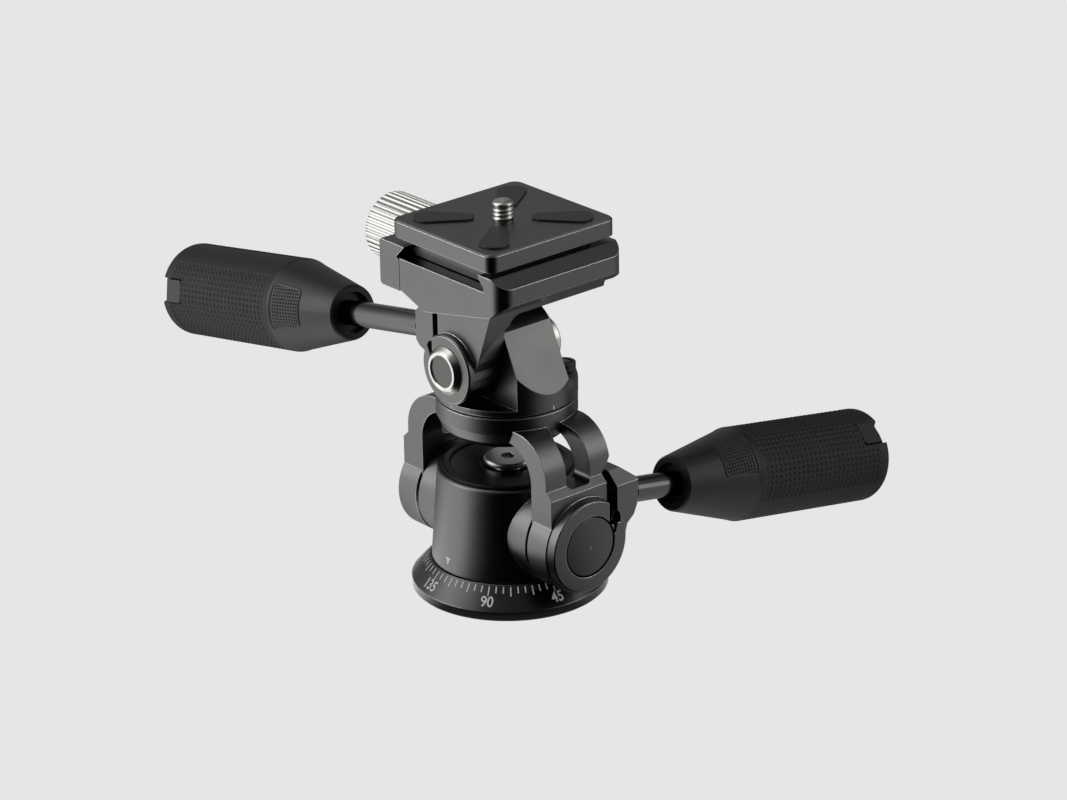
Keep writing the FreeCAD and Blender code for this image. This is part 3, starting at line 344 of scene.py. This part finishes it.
def quad_mesh(name, points, quads, smooth=True):
    """Mesh object from an array of points and an array of four-cornered faces."""
    mesh = bpy.data.meshes.new(name)
    mesh.vertices.add(len(points))
    mesh.vertices.foreach_set("co", points.astype(np.float32).ravel())
    mesh.loops.add(quads.size)
    mesh.loops.foreach_set("vertex_index", quads.astype(np.int32).ravel())
    mesh.polygons.add(len(quads))
    mesh.polygons.foreach_set("loop_start", np.arange(0, quads.size, 4, dtype=np.int32))
    mesh.polygons.foreach_set("use_smooth", np.full(len(quads), smooth))
    mesh.update(calc_edges=True)
    mesh.validate()
    piece = bpy.data.objects.new(name, mesh)
    bpy.context.scene.collection.objects.link(piece)
    return piece


def close_poles(piece):
    """Merge points that share one place, so that each pole of a grid is a single point."""
    shape = bmesh.new()
    shape.from_mesh(piece.data)
    bmesh.ops.remove_doubles(shape, verts=shape.verts[:], dist=MERGE_MM * MM)
    shape.to_mesh(piece.data)
    shape.free()
    return piece


def dress(piece, material, body):
    """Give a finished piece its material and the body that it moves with."""
    piece.data.materials.clear()
    piece.data.materials.append(material)
    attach(piece, body)
    print(piece.name, "faces", len(piece.data.polygons))
    return piece


def smooth_step(value):
    """Zero below 0, one above 1, and an S-curve between them."""
    value = np.clip(value, 0, 1)
    return value * value * (3 - 2 * value)


# %% [markdown]
# ## The grips
#
# Each grip is a rubber sleeve over a moulded core. The rubber is covered with small, nearly square studs
# in straight rows, with one smooth band along it, a smooth collar where it meets the cone and a notch
# at its end for the core's square tab. The studs could be bump in the material, but the light catches
# the side of each one and they show in the outline, so they are geometry.
#
# A sleeve is a cylinder whose radius is a function of two parameters: the angle round it and the way
# along it. The studs are where the radius keeps its full value. Each stud spans the same number of the
# grid's columns, and nearly the same of its rows, so the studs look alike.

# %% Grip measures
GRIP_R = 14.6
CORE_R = 11.4
CORE_GAP = 0.02
SLEEVE_START = 25.5
GRIP_END = 82.0
END_ROUND = 2.6
END_ROUND_STEPS = 8
STUDS_ROUND = 52
STUD_PITCH = 1.94
STUD_CELLS = 7
STUD_WIDTH = 0.56
SIDE_CELLS = 1.2
STUD_STEEPNESS = STUD_CELLS / SIDE_CELLS
GROOVE_DEPTH = 0.42
COLLAR_LENGTH = 1.7
TIP_LENGTH = 2.4
NOTCH_START = 71.4
NOTCH_HALF = 4.2
RIDGE_WIDTH = 0.13
RIDGE_HEIGHT = 0.75


def handle_frame(joint_name):
    """Origin and three axes of a handle: across, the other way across, and along its line."""
    along = Vector(joints[joint_name]["axis"]).normalized()
    turn = Vector((0, 0, 1)).rotation_difference(along)
    axes = np.array([turn @ Vector((1, 0, 0)), turn @ Vector((0, 1, 0)), along])
    return np.array(joints[joint_name]["pos_m"]), axes


def on_handle(joint_name, angle, radius, along_mm):
    """Points at an angle and a radius round a handle's line, and a way along it, all in millimetres."""
    origin, axes = handle_frame(joint_name)
    across = np.stack([radius * np.cos(angle), radius * np.sin(angle), along_mm + 0 * angle], axis=-1)
    return origin + (across * MM) @ axes


def rows_of_studs(turns, steepness):
    """Height from 0 to 1 of one row of studs: a flat top with steep sides, one per unit of turns."""
    place = np.abs((turns % 1.0) - 0.5)
    return smooth_step((STUD_WIDTH / 2 - place) * steepness + 0.5)


# %% Grip sleeve


def stud_height(angle, along, panel):
    """Height of the rubber's pattern from 0, the groove, to 1, the full radius.

    Rows of studs round the sleeve times rows along it make nearly square studs. Inside the panel, thin
    ridges stand between the rows. The collar, the end and the band beside the panel keep the full
    height.
    """
    low, high, last = panel
    column = angle / (2 * np.pi) * STUDS_ROUND
    row = (along - SLEEVE_START - COLLAR_LENGTH) / STUD_PITCH
    studs = rows_of_studs(column, STUD_STEEPNESS) * rows_of_studs(row, STUD_STEEPNESS)
    line = np.abs(((column + 0.5) % 1.0) - 0.5)
    inside = (angle > low) & (angle < high)
    ridge = RIDGE_HEIGHT * smooth_step((RIDGE_WIDTH - line) * STUD_CELLS + 0.5) * inside
    pattern = np.maximum(studs, ridge)
    collar = along < SLEEVE_START + COLLAR_LENGTH
    tip = along > GRIP_END - END_ROUND - TIP_LENGTH
    band = (angle > high) & (angle < last)
    return np.where(collar | tip | band, 1.0, pattern)


def sleeve(joint_name, name, start_mm, turn_deg, panel_deg):
    """Rubber sleeve as a closed ring: outside, rounded end, inside wall and back to the collar.

    The radius is the grip's own, less the groove's depth wherever the pattern is low, and comes down to
    the core inside the notch. The rounded end is a quarter of a circle.
    """
    inner_r = CORE_R + CORE_GAP
    columns = STUDS_ROUND * STUD_CELLS
    angle = np.linspace(0, 2 * np.pi, columns, endpoint=False) - np.pi
    length = GRIP_END - END_ROUND - SLEEVE_START
    steps = int(round(length / STUD_PITCH * STUD_CELLS))
    along = SLEEVE_START + np.linspace(0, length, steps + 1)
    bend = np.linspace(0, np.pi / 2, END_ROUND_STEPS)[1:]
    profile_z = np.concatenate([along, along[-1] + END_ROUND * np.sin(bend), [GRIP_END, SLEEVE_START]])
    profile_r = np.concatenate([np.full(len(along), GRIP_R), GRIP_R - END_ROUND * (1 - np.cos(bend)),
                                [inner_r, inner_r]])
    turn, way = np.meshgrid(angle, profile_z)
    radius = np.repeat(profile_r[:, None], columns, axis=1)
    outside = np.arange(len(profile_z)) < len(along)
    groove = GROOVE_DEPTH * (1 - stud_height(turn, way, np.radians(panel_deg)))
    radius = radius - groove * outside[:, None]
    in_notch = (np.abs(turn * GRIP_R) < NOTCH_HALF) & (way > NOTCH_START)
    radius = np.where(in_notch, inner_r, radius)
    points = on_handle(joint_name, turn + math.radians(turn_deg), radius, way + start_mm)
    return grid_mesh(name, points, closed_v=True)


def start_along(node_name, joint_name):
    """Place along a handle's line where a node starts, in millimetres."""
    origin, axes = handle_frame(joint_name)
    way = (mesh_points(nodes[node_name].data) - origin) @ axes[2] / MM
    return way.min()


# A panel's three angles are where its ridges start and end, and where the smooth band beside it ends.
GRIPS = {
    "tilt": {"joint": "tilt_handle_turn", "body": "tilt_handle", "turn": -49.0, "panel": (14, 68, 112)},
    "roll": {"joint": "side_handle_turn", "body": "roll_handle", "turn": -77.0, "panel": (-13, 39, 84)},
}
for name, grip in GRIPS.items():
    grip["start"] = start_along(name + "_grip_sleeve", grip["joint"]) - SLEEVE_START
    piece = sleeve(grip["joint"], name + "_rubber", grip["start"], grip["turn"], grip["panel"])
    dress(piece, rubber, grip["body"])
    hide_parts(name + "_grip_sleeve")

# %% [markdown]
# ## The thumb pads
#
# On each cone, in line with the notch, sits a pad of much finer studs inside a raised border. It could
# be cut into the cone's own mesh, but a model's node is never changed. So the pad is a thin skin over
# the cone: its edge lies just under the cone's surface, and no step shows.

# %% Thumb pads

# Each end of the cone is a way along the handle's line and a radius.
CONE_SMALL = (0.6, 8.6)
CONE_LARGE = (23.9, 14.1)
PAD_START = 12.6
PAD_END = 24.6
PAD_HALF_DEG = 33.0
PAD_COLUMNS = 122
PAD_ROWS = 96
PAD_CORNER = 2.2
PAD_STUD_MM = 1.02
PAD_STUD_STEEPNESS = 4
PAD_LIFT = 0.26
PAD_EDGE_UNDER = 0.06
PAD_SKIN = 0.1
PAD_SKIN_SLOPE = 0.2
BORDER_SLOPE = 0.25
BORDER_WIDTH = 0.55
BORDER_HEIGHT = 0.8
FIELD_INSET = 1.0


def cone_radius(along):
    """Radius of the grip's cone at a way along it: a straight line from its small to its large end."""
    share = (along - CONE_SMALL[0]) / (CONE_LARGE[0] - CONE_SMALL[0])
    return CONE_SMALL[1] + share * (CONE_LARGE[1] - CONE_SMALL[1])


def thumb_pad(joint_name, name, start_mm, turn_deg):
    """Patch of fine studs inside a border: the cone's radius plus a lift that depends on the inset.

    The inset is the way in from the patch's edge, which has round corners. The skin rises from under
    the cone first, then the border rises and falls, and inside it two rows of studs are multiplied.
    """
    angle = np.radians(np.linspace(-PAD_HALF_DEG, PAD_HALF_DEG, PAD_COLUMNS))
    along = np.linspace(PAD_START, PAD_END, PAD_ROWS)
    turn, way = np.meshgrid(angle, along)
    base = cone_radius(way)
    width = turn * base
    edge_side = np.radians(PAD_HALF_DEG) * base - np.abs(width)
    edge_way = np.minimum(way - PAD_START, PAD_END - way)
    past_side = np.maximum(PAD_CORNER - edge_side, 0)
    past_way = np.maximum(PAD_CORNER - edge_way, 0)
    inset = PAD_CORNER - np.hypot(past_side, past_way)
    studs = (rows_of_studs(width / PAD_STUD_MM, PAD_STUD_STEEPNESS)
             * rows_of_studs(way / PAD_STUD_MM, PAD_STUD_STEEPNESS))
    border = smooth_step(inset / BORDER_SLOPE) - smooth_step((inset - BORDER_WIDTH) / BORDER_SLOPE)
    field = smooth_step((inset - FIELD_INSET) / PAD_SKIN_SLOPE)
    skin = -PAD_EDGE_UNDER + smooth_step(inset / PAD_SKIN_SLOPE) * PAD_SKIN
    lift = skin + PAD_LIFT * np.maximum(BORDER_HEIGHT * border, field * studs)
    points = on_handle(joint_name, turn + math.radians(turn_deg), base + lift, way + start_mm)
    return grid_mesh(name, points, closed_u=False)


for name, grip in GRIPS.items():
    piece = thumb_pad(grip["joint"], name + "_thumb_pad", grip["start"], grip["turn"])
    dress(piece, moulded, grip["body"])

# %% [markdown]
# ## The camera screw
#
# The screw that holds the camera has twenty threads to the inch. A Screw modifier could sweep a
# thread's outline, but it leaves loose ends at the head and at the tip. Here a thread is a cylinder
# whose radius also depends on the angle: where the height less the angle's share of one pitch is
# halfway between two crests, the radius is smallest. The grid rises in straight rows, and the groove
# crosses them and fades out near the tip.

# %% Camera screw
HEAD_HEIGHT = 2.6
HEAD_CHAMFER = 0.5
THREAD_R = 3.175
THREAD_PITCH = 25.4 / 20
THREAD_DEPTH = 0.55
THREAD_SLOPE = 1.6
THREAD_CREST = 0.1
THREAD_ROWS = 150
THREAD_COLUMNS = 96
NECK_LENGTH = 0.1
TIP_CHAMFER = 0.7
LEAD_IN = 1.1
LEAD_IN_FADE = 0.4


def threaded_screw():
    """Closed surface of revolution: head, neck and thread, with the groove wound round the shank.

    The phase runs from 0 to 1 between two crests. The groove is deepest at a half, and its sides are
    S-curves.
    """
    low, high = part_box("camera_screw")
    bottom = low.z / MM
    top = high.z / MM
    head_r = high.x / MM
    head_top = bottom + HEAD_HEIGHT
    shank = np.linspace(head_top + NECK_LENGTH, top - TIP_CHAMFER, THREAD_ROWS)
    z = np.concatenate([[bottom, bottom, bottom + HEAD_CHAMFER, head_top, head_top], shank, [top, top]])
    r = np.concatenate([[0, head_r - HEAD_CHAMFER, head_r, head_r, THREAD_R],
                        np.full(THREAD_ROWS, THREAD_R), [THREAD_R - TIP_CHAMFER, 0]])
    angle = np.linspace(0, 2 * np.pi, THREAD_COLUMNS, endpoint=False)
    turn, height = np.meshgrid(angle, z)
    radius = np.repeat(r[:, None], THREAD_COLUMNS, axis=1)
    phase = (height / THREAD_PITCH - turn / (2 * np.pi)) % 1.0
    groove = smooth_step(THREAD_SLOPE * (0.5 - np.abs(phase - 0.5)) - THREAD_CREST)
    fade = smooth_step((top - LEAD_IN - height) / LEAD_IN_FADE)
    on_shank = np.isclose(radius, THREAD_R) & (height > head_top + NECK_LENGTH / 2)
    radius = radius - THREAD_DEPTH * groove * fade * on_shank
    points = np.stack([radius * np.cos(turn), radius * np.sin(turn), height], axis=-1) * MM
    return close_poles(grid_mesh("camera_screw_threaded", points))


piece = dress(threaded_screw(), plated, "camera_screw")
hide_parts("camera_screw")

# %% [markdown]
# ## The white scale
#
# The scale is pad printed on the cone of the base: a tick every five degrees, a longer one every
# fifteen, and a number every forty-five. It could be a picture on the cone, but a picture blurs up
# close, and shapes stay sharp. Ink has almost no thickness, so the marks are thin sheets a few
# hundredths of a millimetre over the cone. A point of the print is an angle and a way down the slope,
# and the cone gives its place. The numbers start as flat text and are bent the same way.

# %% Scale on the base
INK_LIFT = 0.05
# The ends of the cone's slope, each as a radius and a height.
DIAL_TOP = (24.2, 9.4)
DIAL_EDGE = (30.0, 3.0)
TICK_STEP_DEG = 5
LONG_TICK_STEP_DEG = 15
TICK_WIDTH = 0.36
TICK_START = 0.55
TICK_SHORT = 2.1
TICK_LONG = 3.0
NUMBER_STEP_DEG = 45
NUMBER_HEIGHT = 3.3
NUMBER_FOOT = 7.0
NUMBER_SQUEEZE = 0.86
NUMBER_BOLD = 0.016
ZERO_AZIMUTH = 125.0
# The cone's radius grows by about this much for each millimetre down its slope.
CONE_SPREAD = 0.67


def on_dial(azimuth, slope_mm):
    """Point on the base's cone from an azimuth and a way down the slope from its top.

    The way goes along the straight line from DIAL_TOP to DIAL_EDGE, and the ink's lift square to it.
    """
    run = np.array(DIAL_EDGE) - np.array(DIAL_TOP)
    length = np.hypot(*run)
    radius = DIAL_TOP[0] + run[0] / length * slope_mm - run[1] / length * INK_LIFT
    height = DIAL_TOP[1] + run[1] / length * slope_mm + run[0] / length * INK_LIFT
    return round_axis(radius, azimuth, height) * MM


def dial_ticks():
    """All ticks as one array of four-cornered marks, each as wide at its foot as at its top."""
    value = np.arange(0, 360, TICK_STEP_DEG)
    start = np.full(len(value), TICK_START)
    end = np.where(value % LONG_TICK_STEP_DEG == 0, TICK_LONG, TICK_SHORT) + TICK_START
    slope = np.stack([start, start, end, end], axis=1)
    side = np.array([-0.5, 0.5, 0.5, -0.5]) * TICK_WIDTH
    angle = np.radians(ZERO_AZIMUTH - value)[:, None] - side / DIAL_TOP[0]
    points = on_dial(angle, slope).reshape(-1, 3)
    return quad_mesh("dial_ticks", points, np.arange(len(points)).reshape(-1, 4), smooth=False)


def flat_text(body):
    """Flat mesh of a line of text cut into triangles, centred across, with its foot on the line."""
    curve = bpy.data.curves.new("number", "FONT")
    curve.body = body
    curve.align_x = "CENTER"
    curve.offset = NUMBER_BOLD
    holder = bpy.data.objects.new("number", curve)
    bpy.context.scene.collection.objects.link(holder)
    bpy.context.view_layer.update()
    flat = bpy.data.meshes.new_from_object(holder.evaluated_get(bpy.context.evaluated_depsgraph_get()))
    bpy.data.objects.remove(holder)
    shape = bmesh.new()
    shape.from_mesh(flat)
    bmesh.ops.triangulate(shape, faces=shape.faces[:])
    shape.to_mesh(flat)
    shape.free()
    return flat


def bent_number(value):
    """Number on the cone: across the text is the angle, and up the text is the way up the slope."""
    flat = flat_text(str(value))
    points = mesh_points(flat)
    across, up, _ = (points * NUMBER_HEIGHT / points[:, 1].max()).T
    slope = NUMBER_FOOT - up
    azimuth = math.radians(ZERO_AZIMUTH - value)
    azimuth = azimuth + across * NUMBER_SQUEEZE / (DIAL_TOP[0] + CONE_SPREAD * slope)
    flat.vertices.foreach_set("co", on_dial(azimuth, slope).astype(np.float32).ravel())
    return flat


def dial_numbers():
    """Numbers every forty-five degrees, each bent onto the cone with its foot toward the rim."""
    whole = bmesh.new()
    for value in range(0, 360, NUMBER_STEP_DEG):
        whole.from_mesh(bent_number(value))
    mesh = bpy.data.meshes.new("dial_numbers")
    whole.to_mesh(mesh)
    whole.free()
    piece = bpy.data.objects.new("dial_numbers", mesh)
    bpy.context.scene.collection.objects.link(piece)
    return piece


dress(dial_ticks(), white_ink, "base")
dress(dial_numbers(), white_ink, "base")

# %% [markdown]
# ## Small printed marks
#
# A white arrow at the foot of the drum reads the scale, and four short lines on the disc above the
# yoke show its quarters. They are printed like the scale, so they are thin sheets too. The arrow rides
# on the drum and the lines ride on the yoke, because each moves with what it is printed on.

# %% Index and quarter lines
INDEX_Z = (11.8, 14.4)
INDEX_SIDE = -1.1
INDEX_HALF = 1.15
# The ends of the drum's side, each as a radius and a height.
DRUM_FOOT = (23.7, 10.3)
DRUM_TOP = (21.6, 37.6)
QUARTER_Z = (62.95, 64.15)
QUARTER_HALF = 0.2


def index_arrow():
    """Triangle with its point down, on the tapered drum at -Y, whose radius is linear in the height."""
    low, high = INDEX_Z
    height = np.array([low, high, high, high])
    side = np.array([0, -INDEX_HALF, 0, INDEX_HALF]) + INDEX_SIDE
    share = (height - DRUM_FOOT[1]) / (DRUM_TOP[1] - DRUM_FOOT[1])
    radius = DRUM_FOOT[0] + share * (DRUM_TOP[0] - DRUM_FOOT[0]) + INK_LIFT
    points = round_axis(radius, side / radius, height) * MM
    return quad_mesh("index_arrow", points, np.array([[0, 3, 2, 1]]), smooth=False)


def quarter_lines():
    """Four upright lines on the side of the disc, a quarter turn apart, from the lower to the upper z."""
    low, high = QUARTER_Z
    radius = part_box("pivot_housing")[1].x / MM + INK_LIFT
    side = np.array([-1, 1, 1, -1]) * QUARTER_HALF / radius
    azimuth = np.radians(np.arange(0, 360, 90))[:, None] + side
    points = round_axis(radius, azimuth, np.array([low, low, high, high])).reshape(-1, 3) * MM
    return quad_mesh("quarter_lines", points, np.arange(len(points)).reshape(-1, 4), smooth=False)


dress(index_arrow(), white_ink, "pan_drum")
dress(quarter_lines(), white_ink, "yoke")

# %% [markdown]
# ## The studio
#
# The head stands on a pale sheet that fills the picture. A satin black metal shows hardly any colour of
# its own: what the eye reads as its shape is what it reflects. In the photograph the left sides are
# grey, the right sides nearly black, and the backs lighter again. Lamps alone could not do that without
# burning out the pale sheet, so the floor and the world tell the kinds of ray apart. The camera and the
# acrylic see the plain sheet, and reflections see a ring of tones by side. All other rays meet paper
# below and a gentle fill above.

# %% Floor and background
PALE = "#e6e6e6"
FLOOR_HALF = 6.0
FLOOR_Z = -0.0002
FILL_STRENGTH = 0.35
RING_STRENGTH = 2.0
# Each pair is an azimuth in degrees, from -Y toward +X, and the tone that a reflection meets there.
RING_TONES = [(-180, 0.06), (-150, 0.05), (-128, 0.17), (-100, 0.1), (-76, 0.3), (-54, 0.86), (-18, 0.86),
              (2, 0.08), (92, 0.08), (112, 0.26), (135, 0.36), (158, 0.16)]


def ring_tones(tree, kind, coordinates):
    """Light from each side of the studio: the arctangent of X over -Y picks a tone from a ramp."""
    place = add(tree, "TexCoord")
    axes = add(tree, "SeparateXYZ", {}, {"Vector": place.outputs[coordinates]})
    front = add(tree, "Math", {"operation": "MULTIPLY", 1: -1.0}, {0: axes.outputs["Y"]})
    azimuth = add(tree, "Math", {"operation": "ARCTAN2"},
                  {0: axes.outputs["X"], 1: front.outputs["Value"]})
    share = add(tree, "MapRange", {"From Min": -math.pi, "From Max": math.pi},
                {"Value": azimuth.outputs["Value"]})
    ramp = add(tree, "ValToRGB", {}, {"Fac": share.outputs["Result"]})
    stops = ramp.color_ramp.elements
    while len(stops) < len(RING_TONES):
        stops.new(1.0)
    for stop, (degrees, tone) in zip(stops, RING_TONES):
        stop.position = (degrees + 180) / 360
        stop.color = (tone, tone, tone, 1.0)
    return add(tree, kind, {"Strength": RING_STRENGTH}, {"Color": ramp.outputs["Color"]})


def seen_by_kind(tree, plain, ring, rest):
    """Mix three shaders: plain for camera and acrylic, the ring for reflections, the rest for others."""
    path = add(tree, "LightPath")
    clear = add(tree, "Math", {"operation": "MAXIMUM"},
                {0: path.outputs["Is Camera Ray"], 1: path.outputs["Is Transmission Ray"]})
    lit = add(tree, "MixShader", {}, {0: path.outputs["Is Glossy Ray"], 1: rest.outputs[0],
                                      2: ring.outputs[0]})
    return add(tree, "MixShader", {}, {0: clear.outputs["Value"], 1: lit.outputs["Shader"],
                                       2: plain.outputs[0]})


def pale_surface(name):
    """Sheet that the camera sees in its plain colour, and that throws back light as paper does."""
    material, tree, output = new_material(name)
    paper = add(tree, "BsdfDiffuse", {"Color": linear(PALE)})
    shown = add(tree, "Emission", {"Color": linear(PALE), "Strength": 1.0})
    seen = seen_by_kind(tree, shown, ring_tones(tree, "Emission", "Object"), paper)
    tree.links.new(seen.outputs["Shader"], output.inputs["Surface"])
    return material


def flat_sheet(name, corners, material):
    """Four-cornered sheet of the stage."""
    sheet = quad_mesh(name, np.array(corners, float), np.array([[0, 1, 2, 3]]), smooth=False)
    sheet.data.materials.append(material)


flat_sheet("floor", [(side * FLOOR_HALF, back * FLOOR_HALF, FLOOR_Z)
                     for side, back in [(-1, -1), (1, -1), (1, 1), (-1, 1)]], pale_surface("pale_paper"))


def pale_world():
    """World that looks like the pale sheet to the camera, and gives the rest a gentle fill."""
    world = bpy.data.worlds.new("studio")
    world.use_nodes = True
    tree = world.node_tree
    tree.nodes.clear()
    fill = add(tree, "Background", {"Color": linear(PALE), "Strength": FILL_STRENGTH})
    shown = add(tree, "Background", {"Color": linear(PALE), "Strength": 1.0})
    seen = seen_by_kind(tree, shown, ring_tones(tree, "Background", "Generated"), fill)
    output = add(tree, "OutputWorld")
    tree.links.new(seen.outputs["Shader"], output.inputs["Surface"])
    bpy.context.scene.world = world


pale_world()
bpy.context.scene.view_settings.view_transform = "Standard"
print("ring of", len(RING_TONES), "tones, brightest", RING_STRENGTH * max(tone for _, tone in RING_TONES))

# %% [markdown]
# ## Lamps
#
# Three soft boxes stand round the head. One at the front left makes the drum's light band, one at the
# back right opens the shadows, and a small one high behind picks out the upper edges. Point lamps would
# give hard dots on satin metal, so they are rectangles. A lamp is set by how bright its face looks, and
# its power is that brightness times pi times its area.

# %% Lamps
AIM = Vector((0, 0, 0.06))
LAMPS = {
    "key_front_left": dict(azimuth=-34, elevation=22, distance=1.0, size=(0.6, 0.6), radiance=1.8),
    "fill_back_right": dict(azimuth=132, elevation=20, distance=1.2, size=(0.7, 0.6), radiance=1.4),
    "top_back": dict(azimuth=140, elevation=42, distance=1.1, size=(0.4, 0.3), radiance=0.8),
}


def soft_lamp(name, azimuth, elevation, distance, size, radiance):
    """Rectangular lamp that faces the head, with its power worked out from how bright it looks."""
    data = bpy.data.lights.new(name, "AREA")
    data.shape = "RECTANGLE"
    data.size, data.size_y = size
    data.energy = radiance * math.pi * data.size * data.size_y
    lamp = bpy.data.objects.new(name, data)
    lamp.location = AIM + distance * outward(math.radians(azimuth), math.radians(elevation))
    lamp.rotation_euler = (AIM - lamp.location).to_track_quat("-Z", "Y").to_euler()
    bpy.context.scene.collection.objects.link(lamp)
    print(name, "watts", round(data.energy, 2))


for name, lamp in LAMPS.items():
    soft_lamp(name, **lamp)

# %% [markdown]
# ## Dark cards
#
# A photographer darkens one side of a shiny object with black cards. Two stand here at the front right,
# one upright and one on the floor, bent round the head. They are what keeps the drum's right side black.
# Only reflections see them: the camera, the shadows and the paper do not.

# %% Dark cards
CARD = "#050505"
CARD_SIDES_DEG = (12, 92)
CARD_STEPS = 24
CARD_R = 0.45
CARD_TOP = 0.42
FLOOR_CARD_NEAR_R = 0.034
FLOOR_CARD_Z = 0.0004


def dark_card(name, points):
    """Black card that only reflections see."""
    material, tree, output = new_material(name + "_black")
    surface = add(tree, "BsdfDiffuse", {"Color": linear(CARD)})
    tree.links.new(surface.outputs["BSDF"], output.inputs["Surface"])
    card = grid_mesh(name, points, closed_u=False)
    card.data.materials.append(material)
    card.visible_camera = False
    card.visible_diffuse = False
    card.visible_shadow = False
    card.visible_transmission = False


def bent_card(name, radii, heights):
    """Card bent round the head: straight from its first radius and height to its second."""
    azimuth = np.radians(np.linspace(*CARD_SIDES_DEG, CARD_STEPS))
    dark_card(name, round_axis(np.array(radii)[:, None], azimuth, np.array(heights)[:, None]))


bent_card("card_front", (CARD_R, CARD_R), (0.0, CARD_TOP))
bent_card("card_floor", (FLOOR_CARD_NEAR_R, CARD_R), (FLOOR_CARD_Z, FLOOR_CARD_Z))
print("dark cards from", *CARD_SIDES_DEG, "degrees")
